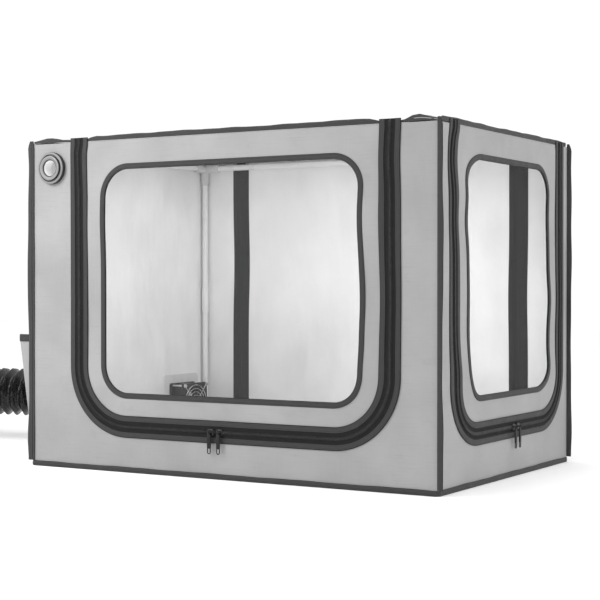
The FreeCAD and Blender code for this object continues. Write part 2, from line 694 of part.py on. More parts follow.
def hose_clamp():
    """Worm-drive band round the hose end, with its screw housing on top."""
    body = new_body("hose_clamp", wall_place("left"))
    inside = "hose_radius + clamp_gap"
    pad_ring(body, "clamp_offset", "clamp_width", *FAN, f"{inside} + clamp_thick", inside)
    half = "clamp_housing / 2"
    foot = f"fan_up + {inside} + clamp_thick / 2"
    housing = new_sketch(body, "clamp_offset")
    rectangle(housing, f"fan_across - {half}", foot, f"fan_across + {half}", f"{foot} + clamp_housing / 2")
    pad(body, housing, "clamp_width")


def hose_path(points):
    """Straight runs joined by tangent arcs, each as large as its two runs allow."""
    knots = [Vector(*point) for point in points]
    edges = []
    start = knots[0]
    for before, here, after in zip(knots, knots[1:], knots[2:]):
        back = (before - here).normalize()
        ahead = (after - here).normalize()
        half_turn = (math.pi - back.getAngle(ahead)) / 2
        reach = HOSE_BEND_SHARE * min(before.distanceToPoint(here), after.distanceToPoint(here))
        radius = reach / math.tan(half_turn)
        print(f"hose bend radius {radius:.0f} mm")
        into = here + back * reach
        out = here + ahead * reach
        bisector = (back + ahead).normalize()
        crown = here + bisector * (math.hypot(radius, reach) - radius)
        edges += [Part.LineSegment(start, into).toShape(), Part.Arc(into, crown, out).toShape()]
        start = out
    edges.append(Part.LineSegment(start, knots[-1]).toShape())
    return Part.Wire(edges)


def sweep_round(path, radius):
    first = path.Edges[0]
    tangent = first.tangentAt(first.FirstParameter)
    ring = Part.Wire([Part.Circle(first.valueAt(first.FirstParameter), tangent, radius).toShape()])
    solid = path.makePipeShell([ring], True, False)
    expected = math.pi * radius ** 2 * path.Length
    print(f"hose sweep volume {solid.Volume:.0f} against {expected:.0f} mm3, length {path.Length:.0f} mm")
    if abs(solid.Volume - expected) > HOSE_VOLUME_TOLERANCE * expected:
        raise SystemExit("the hose sweep has the wrong volume")
    return solid


def duct_hose():
    path = hose_path(HOSE_ROUTE)
    hose = doc.addObject("Part::Feature", "duct_hose")
    hose.Shape = sweep_round(path, value("hose_radius")).cut(sweep_round(path, value("hose_inside")))
    node(hose, "duct_hose")


def duct_end_collar():
    """Push-in collar at the free end: an insert inside the hose, a rim and a plain spigot."""
    end, before = Vector(*HOSE_ROUTE[-1]), Vector(*HOSE_ROUTE[-2])
    way = (end - before).normalize()
    body = new_body("duct_end_collar", Placement(end, Rotation(Vector(0, 0, 1), way)))
    inside = "spigot_radius - spigot_wall"
    pad_ring(body, "-collar_insert", "collar_insert + collar_gap", "0", "0", "spigot_radius", inside)
    pad_ring(body, "collar_gap", "collar_rim_thick", "0", "0", "collar_rim", inside)
    pad_ring(body, "collar_gap + collar_rim_thick", "collar_spigot", "0", "0", "spigot_radius", inside)


duct_spigot()
hose_clamp()
duct_hose()
duct_end_collar()


# ---------------------------------------------------------------- checks and files

doc.recompute()
for item in doc.Objects:
    if "Invalid" in item.State or "Error" in item.State:
        raise SystemExit(f"{item.Label} failed: {item.State}")
for item in nodes:
    if item.Shape.isNull() or not item.Shape.isValid() or not item.Shape.Solids:
        raise SystemExit(f"{item.Label} has no valid solid")

os.makedirs("parts", exist_ok=True)
for item in nodes:
    item.Shape.exportStep(f"parts/{item.Label}.step")
print(f"{len(nodes)} nodes written")
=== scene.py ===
import bmesh
import bpy
import math
import numpy as np
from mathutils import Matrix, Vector, noise


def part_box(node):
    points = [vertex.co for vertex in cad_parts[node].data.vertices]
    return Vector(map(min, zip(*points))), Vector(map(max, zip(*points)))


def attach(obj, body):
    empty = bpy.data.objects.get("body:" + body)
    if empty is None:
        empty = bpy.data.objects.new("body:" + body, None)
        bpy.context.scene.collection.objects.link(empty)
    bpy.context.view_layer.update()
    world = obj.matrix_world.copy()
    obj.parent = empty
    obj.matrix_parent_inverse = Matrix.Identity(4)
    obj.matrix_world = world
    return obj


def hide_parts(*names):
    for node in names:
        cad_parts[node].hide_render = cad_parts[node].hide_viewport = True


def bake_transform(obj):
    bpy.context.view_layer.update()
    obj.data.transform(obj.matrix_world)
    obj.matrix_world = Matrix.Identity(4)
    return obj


# Looks of the printer enclosure tent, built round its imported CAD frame. Metres; the front faces -Y.

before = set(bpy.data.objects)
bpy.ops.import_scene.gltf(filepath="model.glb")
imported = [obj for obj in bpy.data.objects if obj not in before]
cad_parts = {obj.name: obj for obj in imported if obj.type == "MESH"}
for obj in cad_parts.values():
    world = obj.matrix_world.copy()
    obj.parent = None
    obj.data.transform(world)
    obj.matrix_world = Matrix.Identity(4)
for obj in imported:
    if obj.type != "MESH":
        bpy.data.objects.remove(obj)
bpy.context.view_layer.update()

# ---------------------------------------------------------------- sizes

MM = 0.001
CLOTH = 1.2 * MM
# Zip, as distances from its centre line: tape, fabric edge, and the strip that binds that edge.
TAPE_HALF = 20.5 * MM
SLIT = 0.3 * MM
FABRIC_EDGE = 12 * MM
STRIP_INSIDE = 9.4 * MM
STRIP_MIDDLE = (STRIP_INSIDE + TAPE_HALF) / 2
TAPE_THICK = 1.0 * MM
STRIP_THICK = 1.1 * MM
ZIP_SHORT = 2.6 * MM
ZIP_RADIUS = {"front": 112 * MM, "right": 96 * MM, "rear": 55 * MM}
TOOTH_PITCH = 2.6 * MM
TOOTH_WIDE = 1.25 * MM
TOOTH_REACH = 0.9 * MM
TOOTH_FOOT = 3.4 * MM
TOOTH_TOP = 3.0 * MM
# Windows: the opening in the fabric and the film behind it.
PANE_RADIUS = 62 * MM
PANE_LAP = 5 * MM
PANE_BINDING = 10.5 * MM
PANE_BINDING_THICK = 1.6 * MM
FILM_THICK = 0.6 * MM
FILM_INSET = 2 * MM
# Gap between the top of a door's fabric and the top of its wall.
DOOR_GAP = 0.3 * MM
# Duct hose: its route, as in the CAD model, and its wire-ribbed skin.
HOSE_ROUTE = [
    (-0.446, 0.202, 0.089),
    (-0.640, 0.202, 0.089),
    (-0.829, 0.112, 0.108),
    (-1.022, 0.078, 0.100),
    (-1.200, 0.116, 0.071),
    (-1.352, 0.212, 0.058),
]
HOSE_RADIUS = 55 * MM
HOSE_SKIN = 1.0 * MM
RIB_PITCH = 23 * MM
RIB_DEPTH = 12.5 * MM
CUFF_DEPTH = 3.4 * MM
CUFF_LENGTH = 34 * MM

# Zip sliders and pulls: half length and wire of the bail, the pull's eye and its wire loop.
BAIL_HALF = 3.6 * MM
BAIL_WIRE = 1.1 * MM
PULL_EYE = 2.4 * MM
PULL_LOOP = 10 * MM
# Pocket: depth at its foot, bend of its front edges, and half height and rise of the tape on its mouth.
POCKET_FOOT = 19 * MM
POCKET_BEND = 4 * MM
POCKET_HEM = 7.5 * MM
POCKET_RISE = 5 * MM

# Camera: a 91 mm lens on a 36 mm sensor, standing right of the middle and a little over half way up.
LENS = 91.4734
SENSOR = 36.0
CAMERA_PLACE = (1.54613, -2.60449, 0.35608)
CAMERA_TURN = (math.radians(89.3972), 0, math.radians(30.7878))

# Steps along a straight and round a corner of every course on a wall.
STRAIGHT_STEPS = 64
ARC_STEPS = 24


# ---------------------------------------------------------------- camera and stage

def add_camera():
    lens = bpy.data.cameras.new("camera")
    lens.lens = LENS
    lens.sensor_width = SENSOR
    camera = bpy.data.objects.new("camera", lens)
    camera.location = CAMERA_PLACE
    camera.rotation_euler = CAMERA_TURN
    bpy.context.scene.collection.objects.link(camera)
    bpy.context.scene.camera = camera


add_camera()


# ---------------------------------------------------------------- materials

class Surface:
    """A material: a Principled shader and the textures that feed it."""

    def __init__(self, name, roughness=0.6, **constants):
        self.material = bpy.data.materials.new(name)
        self.material.use_nodes = True
        self.tree = self.material.node_tree
        self.shader = self.tree.nodes["Principled BSDF"]
        self.shader.inputs["Roughness"].default_value = roughness
        for socket, constant in constants.items():
            self.shader.inputs[socket.replace("_", " ")].default_value = constant

    def add(self, kind, settings=None, **inputs):
        """A node; its inputs are constants or other nodes' outputs, named with _ for spaces."""
        node = self.tree.nodes.new("ShaderNode" + kind)
        for key, setting in (settings or {}).items():
            setattr(node, key, setting)
        for key, given in inputs.items():
            socket = (
                node.inputs[int(key[1:])] if key[0] == "i" and key[1:].isdigit()
                else node.inputs[key.replace("_", " ")]
            )
            self.join(given, socket)
        return node

    def join(self, given, socket):
        if isinstance(given, bpy.types.NodeSocket):
            self.tree.links.new(given, socket)
        else:
            socket.default_value = given

    def place(self):
        return self.add("TexCoord").outputs["Object"]

    def map(self, name):
        return self.add("UVMap", {"uv_map": name}).outputs["UV"]

    def across(self, name):
        """The two coordinates of a map, in metres."""
        split = self.add("SeparateXYZ", Vector=self.map(name))
        return split.outputs["X"], split.outputs["Y"]

    def sum(self, operation, a, b=0.0, c=0.0):
        return self.add("Math", {"operation": operation}, i0=a, i1=b, i2=c).outputs[0]

    def noise(self, scale, detail=3.0, coordinates=None):
        if coordinates is None:
            coordinates = self.place()
        return self.add("TexNoise", Vector=coordinates, Scale=scale, Detail=detail).outputs["Fac"]

    def stretch(self, x, y, z, coordinates=None):
        if coordinates is None:
            coordinates = self.place()
        return self.add("Mapping", Vector=coordinates, Scale=(x, y, z)).outputs[0]

    def span(self, given, low, high, to_low=0.0, to_high=1.0):
        node = self.add("MapRange", Value=given, From_Min=low, From_Max=high, To_Min=to_low, To_Max=to_high)
        return node.outputs[0]

    def blend(self, share, first, second):
        node = self.add("Mix", {"data_type": "RGBA"}, i0=share, i6=first, i7=second)
        return node.outputs[2]

    def weave(self, pitch, name):
        """Height of a plain weave, -1 to 1, with threads of the given pitch along a map's two ways."""
        along, across = self.across(name)
        turn = math.pi / pitch
        first = self.sum("SINE", self.sum("MULTIPLY", along, turn))
        second = self.sum("SINE", self.sum("MULTIPLY", across, turn))
        return self.sum("MULTIPLY", first, second)

    def stitches(self, lines, pitch=3.4 * MM, thread=0.45 * MM):
        """1 on the stitches sewn along a band at the given distances across it, 0 elsewhere."""
        along, across = self.across("band")
        dash = self.sum("LESS_THAN", self.sum("FRACT", self.sum("DIVIDE", along, pitch)), 0.72)
        found = None
        for line in lines:
            gap = self.sum("SUBTRACT", self.sum("ABSOLUTE", across), line)
            near = self.sum("LESS_THAN", self.sum("ABSOLUTE", gap), thread)
            found = near if found is None else self.sum("MAXIMUM", found, near)
        return self.sum("MULTIPLY", dash, found)

    def colour(self, given):
        self.join(given, self.shader.inputs["Base Color"])

    def rough(self, given):
        self.join(given, self.shader.inputs["Roughness"])

    def bump(self, height, distance, strength=1.0):
        chain = self.shader.inputs["Normal"]
        before = chain.links[0].from_socket if chain.links else None
        node = self.add("Bump", Height=height, Distance=distance, Strength=strength)
        if before is not None:
            self.tree.links.new(before, node.inputs["Normal"])
        self.tree.links.new(node.outputs[0], chain)


def grey(level, warm=0.0):
    return (level * (1 + warm), level, level * (1 - warm), 1.0)


def cover_fabric():
    """Grey coated polyester: a fine plain weave, slubs along the threads and a little soiling."""
    made = Surface("cover_fabric", 0.72, Sheen_Weight=0.15, Sheen_Roughness=0.5)
    weave = made.weave(0.75 * MM, "cloth")
    slubs = made.noise(1.0, 2.0, made.stretch(14, 620, 1, made.map("cloth")))
    threads = made.noise(1.0, 2.0, made.stretch(560, 16, 1, made.map("cloth")))
    clouds = made.noise(7.0, 4.0)
    soil = made.noise(38.0, 5.0)
    cloth = made.blend(made.span(clouds, 0.35, 0.65), grey(0.262, 0.002), grey(0.315, 0.002))
    cloth = made.blend(made.span(slubs, 0.55, 0.8, 0, 0.35), cloth, grey(0.205))
    cloth = made.blend(made.span(threads, 0.55, 0.8, 0, 0.35), cloth, grey(0.33))
    cloth = made.blend(made.span(soil, 0.62, 0.85, 0, 0.3), cloth, grey(0.19, 0.02))
    made.colour(made.blend(made.span(weave, -1, 1, 0, 0.16), cloth, grey(0.155)))
    made.rough(made.span(clouds, 0.3, 0.7, 0.64, 0.8))
    made.bump(weave, 0.12 * MM, 0.5)
    made.bump(soil, 0.5 * MM, 0.25)
    return made.material


def lining():
    """Inner face of the fabric: a pale silvery coating, finely crinkled."""
    made = Surface("lining", 0.42, Metallic=0.12)
    creases = made.noise(1.0, 4.0, made.stretch(16, 16, 5))
    clouds = made.noise(7.0, 4.0)
    coat = made.blend(made.span(clouds, 0.35, 0.65), grey(0.78), grey(0.86))
    made.colour(made.blend(made.span(creases, 0.5, 0.8, 0, 0.3), coat, grey(0.6)))
    made.rough(made.span(clouds, 0.3, 0.7, 0.34, 0.5))
    made.bump(creases, 9 * MM, 0.4)
    made.bump(made.noise(130.0, 3.0), 0.3 * MM, 0.3)
    return made.material


def binding_tape(name, middle, half, lines):
    """Folded woven tape: charcoal, with a painted highlight along its rounded middle and painted shade
    towards its edges, sewn along the given lines.
    """
    made = Surface(name, 0.62, Specular_IOR_Level=0.2, Sheen_Weight=0.1, Sheen_Roughness=0.4)
    along, across = made.across("band")
    rib = made.sum("SINE", made.sum("MULTIPLY", made.sum("ADD", along, across), math.tau / (1.6 * MM)))
    away = made.sum("ABSOLUTE", made.sum("SUBTRACT", made.sum("ABSOLUTE", across), middle))
    wear = made.noise(60.0, 4.0)
    # Painted highlight and painted shade: lighter along the tape's rounded middle, darker towards its two
    # edges.
    tape = made.blend(made.span(away, 0.3 * half, 0.85 * half), grey(0.038), grey(0.005))
    tape = made.blend(made.span(wear, 0.5, 0.8, 0, 0.4), tape, grey(0.055))
    tape = made.blend(made.span(rib, -1, 1, 0, 0.25), tape, grey(0.02))
    sewn = made.stitches(lines)
    made.colour(made.blend(made.sum("MULTIPLY", sewn, 0.7), tape, grey(0.09)))
    made.rough(made.span(wear, 0.3, 0.7, 0.55, 0.75))
    made.bump(rib, 0.15 * MM, 0.5)
    made.bump(sewn, 0.35 * MM, 0.8)
    return made.material


def zip_tape():
    """Black woven zip tape."""
    made = Surface("zip_tape", 0.75, Specular_IOR_Level=0.2)
    weave = made.weave(0.6 * MM, "band")
    wear = made.noise(90.0, 3.0)
    tape = made.blend(made.span(wear, 0.4, 0.75), grey(0.007), grey(0.015))
    made.colour(made.blend(made.span(weave, -1, 1, 0, 0.4), tape, grey(0.008)))
    made.rough(made.span(wear, 0.3, 0.7, 0.68, 0.85))
    made.bump(weave, 0.15 * MM, 0.6)
    return made.material


def zip_coil():
    """Moulded black nylon of the zip's coils."""
    made = Surface("zip_coil", 0.36, Specular_IOR_Level=0.3)
    wear = made.noise(160.0, 3.0)
    made.colour(made.blend(made.span(wear, 0.4, 0.75), grey(0.024), grey(0.05)))
    made.rough(made.span(wear, 0.3, 0.7, 0.3, 0.5))
    made.bump(wear, 0.1 * MM, 0.3)
    return made.material


def window_film():
    """Clear soft film, faintly milky."""
    return Surface(
        "window_film", 0.07, Base_Color=grey(0.93), Alpha=0.018, Specular_IOR_Level=0.9,
    ).material


def lacquered_metal(name="zip_metal", metallic=0.6, shine=0.5, worn=0.2):
    """Black lacquered die-cast zinc, rubbed thin in places."""
    made = Surface(name, 0.3, Metallic=metallic, Specular_IOR_Level=shine)
    rubbed = made.noise(420.0, 4.0)
    spots = made.span(rubbed, 0.62, 0.74)
    made.colour(made.blend(spots, grey(0.018), grey(worn)))
    made.rough(made.span(rubbed, 0.3, 0.7, 0.25, 0.45))
    made.bump(rubbed, 0.08 * MM, 0.35)
    return made.material


def bright_wire(name, level):
    """Plated steel wire with fine drawing marks."""
    made = Surface(name, 0.22, Metallic=1.0)
    marks = made.noise(1.0, 2.0, made.stretch(900, 900, 90))
    dull = made.noise(120.0, 3.0)
    made.colour(made.blend(made.span(dull, 0.45, 0.8), grey(level), grey(level * 0.55)))
    made.rough(made.span(marks, 0.3, 0.7, 0.16, 0.34))
    made.bump(marks, 0.05 * MM, 0.3)
    return made.material


def coated_tube():
    """White powder-coated steel tube with a fine orange-peel skin."""
    made = Surface("frame_tube", 0.38, Coat_Weight=0.2, Coat_Roughness=0.2)
    peel = made.noise(700.0, 2.0)
    scuff = made.noise(26.0, 5.0)
    made.colour(made.blend(made.span(scuff, 0.6, 0.85), grey(0.72), grey(0.52)))
    made.rough(made.span(scuff, 0.3, 0.7, 0.3, 0.48))
    made.bump(peel, 0.15 * MM, 0.35)
    return made.material


def moulded(name, level, roughness=0.45, grain=500.0, warm=0.0):
    """Moulded plastic with a fine spark-eroded grain and slight shine where it is handled."""
    made = Surface(name, roughness, Specular_IOR_Level=0.45)
    grains = made.noise(grain, 3.0)
    handled = made.noise(30.0, 4.0)
    plastic = made.blend(made.span(handled, 0.35, 0.75), grey(level, warm), grey(level * 1.22, warm))
    made.colour(made.blend(made.span(grains, 0.55, 0.8, 0, 0.3), plastic, grey(level * 0.75, warm)))
    made.rough(made.span(handled, 0.3, 0.7, roughness - 0.08, roughness + 0.1))
    made.bump(grains, 0.12 * MM, 0.5)
    return made.material


def patch_board():
    """Pale stiff board behind the fan, covered in coated cloth."""
    made = Surface("patch_board", 0.6)
    weave = made.noise(1.0, 2.0, made.stretch(1, 900, 300))
    clouds = made.noise(18.0, 4.0)
    board = made.blend(made.span(clouds, 0.35, 0.7), grey(0.62), grey(0.72))
    made.colour(made.blend(made.span(weave, 0.55, 0.8, 0, 0.3), board, grey(0.45)))
    made.bump(weave, 0.2 * MM, 0.4)
    return made.material


def duct_skin():
    """Glossy black coated cloth of the hose, creased between its wire ribs."""
    made = Surface("duct_fabric", 0.25, Specular_IOR_Level=0.45)
    creases = made.noise(1.0, 4.0, made.stretch(150, 26, 1, made.map("band")))
    fine = made.noise(240.0, 3.0)
    made.colour(made.blend(made.span(creases, 0.45, 0.8), grey(0.003), grey(0.010)))
    made.rough(made.span(fine, 0.3, 0.7, 0.14, 0.34))
    made.bump(creases, 3.0 * MM, 0.8)
    made.bump(fine, 0.5 * MM, 0.6)
    return made.material


SKINS = {
    "cover_fabric": cover_fabric(),
    "lining": lining(),
    "zip_strip": binding_tape(
        "zip_strip", STRIP_MIDDLE, 5.2 * MM, [STRIP_MIDDLE - 3.6 * MM, STRIP_MIDDLE + 3.6 * MM],
    ),
    "pane_strip": binding_tape("pane_strip", 5.2 * MM, 5.2 * MM, [1.5 * MM, 9.0 * MM]),
    "seam_strip": binding_tape("seam_strip", 5.0 * MM, 6.0 * MM, [1.6 * MM, 8.4 * MM]),
    "pocket_strip": binding_tape("pocket_strip", 0.0, 9.0 * MM, [5.6 * MM]),
    "zip_tape": zip_tape(),
    "zip_coil": zip_coil(),
    "window_film": window_film(),
    "zip_metal": lacquered_metal(),
    "pull_enamel": lacquered_metal("pull_enamel", 0.0, 0.12, 0.04),
    "frame_tube": coated_tube(),
    "connector_plastic": moulded("connector_plastic", 0.5, 0.4),
    "port_plastic": moulded("port_plastic", 0.17, 0.4),
    # Near-black painted shade for the port's steep side walls and the rim of its hole.
    "port_painted_shade": moulded("port_painted_shade", 0.016, 0.6),
    # Pale painted light on the port's bore, for the brightness seen through the hole.
    "port_bore_painted_light": moulded("port_bore_painted_light", 0.75, 0.5),
    "fan_plastic": moulded("fan_plastic", 0.012, 0.42),
    "patch_board": patch_board(),
    "guard_wire": bright_wire("guard_wire", 0.7),
    "duct_fabric": duct_skin(),
    "clamp_steel": bright_wire("clamp_steel", 0.5),
}


# ---------------------------------------------------------------- mesh helpers

def smooth(given, low, high):
    """0 below low, 1 above high, and an easy curve between them."""
    share = np.clip((given - low) / (high - low), 0, 1)
    return share * share * (3 - 2 * share)


def quads(rows, columns, wrap_rows=False, wrap_columns=False):
    """Faces of a grid of points that are numbered row by row."""
    number = np.arange(rows * columns).reshape(rows, columns)
    if wrap_rows:
        number = np.vstack([number, number[:1]])
    if wrap_columns:
        number = np.hstack([number, number[:, :1]])
    corners = (number[:-1, :-1], number[:-1, 1:], number[1:, 1:], number[1:, :-1])
    return np.stack([corner.ravel() for corner in corners], 1).tolist()


def build(name, points, faces, skins, maps=None, paint=None, crisp=40):
    """A mesh piece. Each map gives one (u, v) a point, and paint each face's number in skins."""
    mesh = bpy.data.meshes.new(name)
    mesh.from_pydata(np.asarray(points).reshape(-1, 3).tolist(), [], faces)
    for skin in skins:
        mesh.materials.append(SKINS[skin])
    if paint is not None:
        mesh.polygons.foreach_set("material_index", np.asarray(paint, np.int32))
    work = bmesh.new()
    work.from_mesh(mesh)
    bmesh.ops.recalc_face_normals(work, faces=work.faces)
    work.to_mesh(mesh)
    work.free()
    corner_points = np.zeros(len(mesh.loops), np.int32)
    mesh.loops.foreach_get("vertex_index", corner_points)
    for map_name, flat in (maps or {}).items():
        layer = mesh.uv_layers.new(name=map_name)
        layer.data.foreach_set("uv", np.asarray(flat, np.float32).reshape(-1, 2)[corner_points].ravel())
    mesh.shade_smooth()
    mesh.set_sharp_from_angle(angle=math.radians(crisp))
    piece = bpy.data.objects.new(name, mesh)
    bpy.context.scene.collection.objects.link(piece)
    return piece


def shell(name, front, back, skins, flat, wrap=False):
    """A thin closed sheet between two grids of points; skins are its front's and its back's."""
    rows, columns = front.shape[:2]
    count = rows * columns
    face = quads(rows, columns, wrap_columns=wrap)
    behind = [[number + count for number in corners] for corners in face]
    number = np.arange(count).reshape(rows, columns)
    edges = [number[0], number[-1]]
    if not wrap:
        edges += [number[:, 0], number[:, -1]]
    rim = []
    for edge in edges:
        ends = list(zip(edge[:-1], edge[1:]))
        if wrap:
            ends.append((edge[-1], edge[0]))
        rim += [[int(a), int(b), int(b) + count, int(a) + count] for a, b in ends]
    paint = [0] * len(face) + [len(skins) - 1] * len(behind) + [0] * len(rim)
    points = np.vstack([front.reshape(-1, 3), back.reshape(-1, 3)])
    flat = np.asarray(flat).reshape(-1, 2)
    return build(name, points, face + behind + rim, skins, {"cloth": np.vstack([flat, flat])}, paint)


def strand(name, rings, skins, along, across, wrap=False, crisp=50):
    """A closed section swept along a course: rings is (steps, section points, 3)."""
    steps, section = rings.shape[:2]
    faces = quads(steps, section, wrap_rows=wrap, wrap_columns=True)
    if not wrap:
        faces.append(list(range(section)))
        faces.append(list(range((steps - 1) * section, steps * section)))
    band = np.stack(np.broadcast_arrays(np.asarray(along)[:, None], np.asarray(across)[None, :]), -1)
    return build(name, rings, faces, skins, {"band": band}, crisp=crisp)


def lathe(name, profile, centre, axis, skins, steps=96, crisp=35):
    """A closed profile of (radius, height) turned about an axis."""
    axis = Vector(axis).normalized()
    side = axis.orthogonal().normalized()
    other = axis.cross(side)
    angles = np.linspace(0, math.tau, steps, endpoint=False)
    spokes = np.cos(angles)[:, None] * np.array(side) + np.sin(angles)[:, None] * np.array(other)
    section = np.array(profile)
    rings = np.array(centre) + spokes[:, None] * section[None, :, :1] + np.array(axis) * section[None, :, 1:]
    faces = quads(steps, len(section), wrap_rows=True, wrap_columns=True)
    return build(name, rings, faces, skins, crisp=crisp)


def join(name, pieces):
    """One piece made of several; they share their maps and skins."""
    work = bmesh.new()
    skins = []
    for piece in pieces:
        for skin in piece.data.materials:
            if skin not in skins:
                skins.append(skin)
    mesh = bpy.data.meshes.new(name)
    for piece in pieces:
        numbers = [skins.index(skin) for skin in piece.data.materials]
        start = len(work.faces)
        work.from_mesh(piece.data)
        work.faces.ensure_lookup_table()
        for face in work.faces[start:]:
            face.material_index = numbers[face.material_index]
    work.to_mesh(mesh)
    work.free()
    for skin in skins:
        mesh.materials.append(skin)
    for piece in pieces:
        bpy.data.objects.remove(piece)
    joined = bpy.data.objects.new(name, mesh)
    bpy.context.scene.collection.objects.link(joined)
    return joined


def settle(piece, body, slot, *nodes):
    """The piece rides on a body and stands for the named CAD nodes, which are hidden; slot is not used."""
    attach(piece, body)
    if nodes:
        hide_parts(*nodes)
    return piece


def repaint(node, *skins):
    """A CAD node keeps its shape and gets a material."""
    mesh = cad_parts[node].data
    mesh.materials.clear()
    for skin in skins:
        mesh.materials.append(SKINS[skin])


# ---------------------------------------------------------------- walls

UP = np.array([0.0, 0.0, 1.0])
EDGE_LOW, EDGE_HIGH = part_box("corner_piping")
FOOT_LOW, FOOT_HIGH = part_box("bottom_piping")
HEAD_LOW, HEAD_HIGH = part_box("top_piping")

# Lasting creases of each wall: where along and up it, half spreads along and up, sideways shift,
# swell outward.
FOLDS = {
    "front": [
        (0.127, 0.600, 0.030, 0.050, -0.003, 0.001),
        (0.127, 0.320, 0.040, 0.100, 0.002, 0.002),
        (0.180, 0.480, 0.030, 0.060, -0.002, 0.001),
        (0.470, 0.110, 0.200, 0.040, 0.000, 0.002),
        (0.750, 0.470, 0.030, 0.060, -0.004, 0.001),
        (0.750, 0.330, 0.030, 0.050, 0.002, -0.001),
        (0.750, 0.195, 0.030, 0.040, -0.003, 0.001),
        (0.800, 0.570, 0.030, 0.040, -0.002, 0.001),
        (0.800, 0.330, 0.030, 0.060, 0.002, 0.001),
    ],
    "right": [
        (0.066, 0.570, 0.026, 0.050, -0.015, 0.001),
        (0.066, 0.465, 0.026, 0.040, -0.004, 0.000),
        (0.072, 0.192, 0.030, 0.050, 0.009, 0.000),
        (0.122, 0.568, 0.034, 0.046, -0.014, 0.001),
        (0.115, 0.465, 0.032, 0.040, -0.013, 0.002),
        (0.117, 0.330, 0.032, 0.045, 0.006, -0.002),
        (0.122, 0.185, 0.036, 0.050, 0.011, 0.000),
        (0.500, 0.485, 0.032, 0.045, -0.006, 0.001),
        (0.503, 0.325, 0.032, 0.045, 0.004, 0.002),
        (0.498, 0.172, 0.034, 0.042, 0.011, 0.000),
        (0.554, 0.580, 0.026, 0.050, -0.003, 0.001),
        (0.554, 0.340, 0.026, 0.050, -0.001, 0.001),
    ],
    "rear": [
        (0.300, 0.400, 0.140, 0.120, 0.000, 0.005),
        (0.600, 0.300, 0.120, 0.150, 0.000, -0.004),
        (0.113, 0.330, 0.040, 0.080, 0.003, 0.001),
        (0.787, 0.400, 0.040, 0.090, -0.003, 0.001),
    ],
    "left": [
        (0.300, 0.430, 0.160, 0.110, 0.000, 0.005),
        (0.480, 0.520, 0.080, 0.080, 0.000, -0.003),
        (0.180, 0.330, 0.080, 0.080, 0.000, 0.003),
    ],
}
FADE = 26 * MM


class Wall:
    """One side of the tent: along it seen from outside, up, and out, from its lower left corner."""

    def __init__(self, side, origin, along):
        self.side = side
        self.origin = np.array(origin)
        self.along = np.array(along, float)
        self.out = np.cross(self.along, UP)
        self.long = 2 * abs(float(np.dot(self.origin, self.along)))
        self.calm = []

    def box(self, node):
        """A CAD node's box on this wall: left, bottom, right, top, and how far out its two faces are."""
        corners = np.array([list(corner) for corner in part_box(node)]) - self.origin
        across = sorted(corners @ self.along)
        out = sorted(corners @ self.out)
        return (across[0], corners[0, 2], across[1], corners[1, 2]), out

    def creases(self, x, y):
        """Sideways shift and outward swell of the wall's lasting creases at places on it."""
        shift = np.zeros_like(x)
        swell = np.zeros_like(x)
        for fold_x, fold_y, wide, tall, sideways, outward in FOLDS[self.side]:
            near = np.exp(-(((x - fold_x) / wide) ** 2 + ((y - fold_y) / tall) ** 2))
            shift += sideways * near
            swell += outward * near
        top = HEAD_LOW.z
        still = smooth(x, 0.006, 0.006 + FADE) * smooth(self.long - x, 0.006, 0.006 + FADE)
        still = still * smooth(y, 0.012, 0.012 + FADE) * smooth(top - y, 0, FADE)
        for calm_x, calm_y, radius in self.calm:
            still = still * smooth(np.hypot(x - calm_x, y - calm_y), radius, radius + 2 * FADE)
        return shift * still, swell * still

    def place(self, flat, out):
        """World points of flat places on the wall, each at a height out from it."""
        x, y = flat[..., 0], flat[..., 1]
        shift, swell = self.creases(x, y)
        out = np.broadcast_to(out, x.shape) + swell
        return (
            self.origin + (x + shift)[..., None] * self.along + y[..., None] * UP + out[..., None] * self.out
        )

    def point(self, x, y, out):
        return self.place(np.array([[x, y]], float), out)[0]


WALLS = {
    "front": Wall("front", (EDGE_LOW.x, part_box("front_wall")[0].y, 0), (1, 0, 0)),
    "right": Wall("right", (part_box("right_wall")[1].x, FOOT_LOW.y, 0), (0, 1, 0)),
    "rear": Wall("rear", (EDGE_HIGH.x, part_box("rear_wall")[1].y, 0), (-1, 0, 0)),
    "left": Wall("left", (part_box("left_wall")[0].x, FOOT_HIGH.y, 0), (0, -1, 0)),
}


def middle_of(wall, node):
    """The centre of a CAD node's box, along and up the wall."""
    left, bottom, right, top = wall.box(node)[0]
    return (left + right) / 2, (bottom + top) / 2


PORT_X, PORT_Y = middle_of(WALLS["front"], "port_flange")
FAN_X, FAN_Y = middle_of(WALLS["left"], "fan_mount_plate")
WALLS["front"].calm.append((PORT_X, PORT_Y, 32 * MM))
WALLS["left"].calm.append((FAN_X, FAN_Y, 92 * MM))
SLIDER_SIDES = ("front", "right", "rear")
for wall_side in SLIDER_SIDES:
    for hand in ("left", "right"):
        slider_x, slider_y = middle_of(WALLS[wall_side], f"{wall_side}_slider_{hand}")
        WALLS[wall_side].calm.append((slider_x, slider_y, 12 * MM))

STEP_DOWN = np.array([0.0, -1.0])
STEP_RIGHT = np.array([1.0, 0.0])
STEP_UP = np.array([0.0, 1.0])
STEP_LEFT = np.array([-1.0, 0.0])


def turn(spot, before, after, reach, square):
    """Points round a corner from reach before it to reach after it: an arc, or the square corner."""
    share = np.linspace(0, 1, ARC_STEPS + 1)[:, None]
    if square:
        return (
            spot - before * reach * np.clip(1 - 2 * share, 0, 1)
            + after * reach * np.clip(2 * share - 1, 0, 1)
        )
    angle = share * math.pi / 2
    return spot - before * reach * (1 - np.sin(angle)) + after * reach * (1 - np.cos(angle))


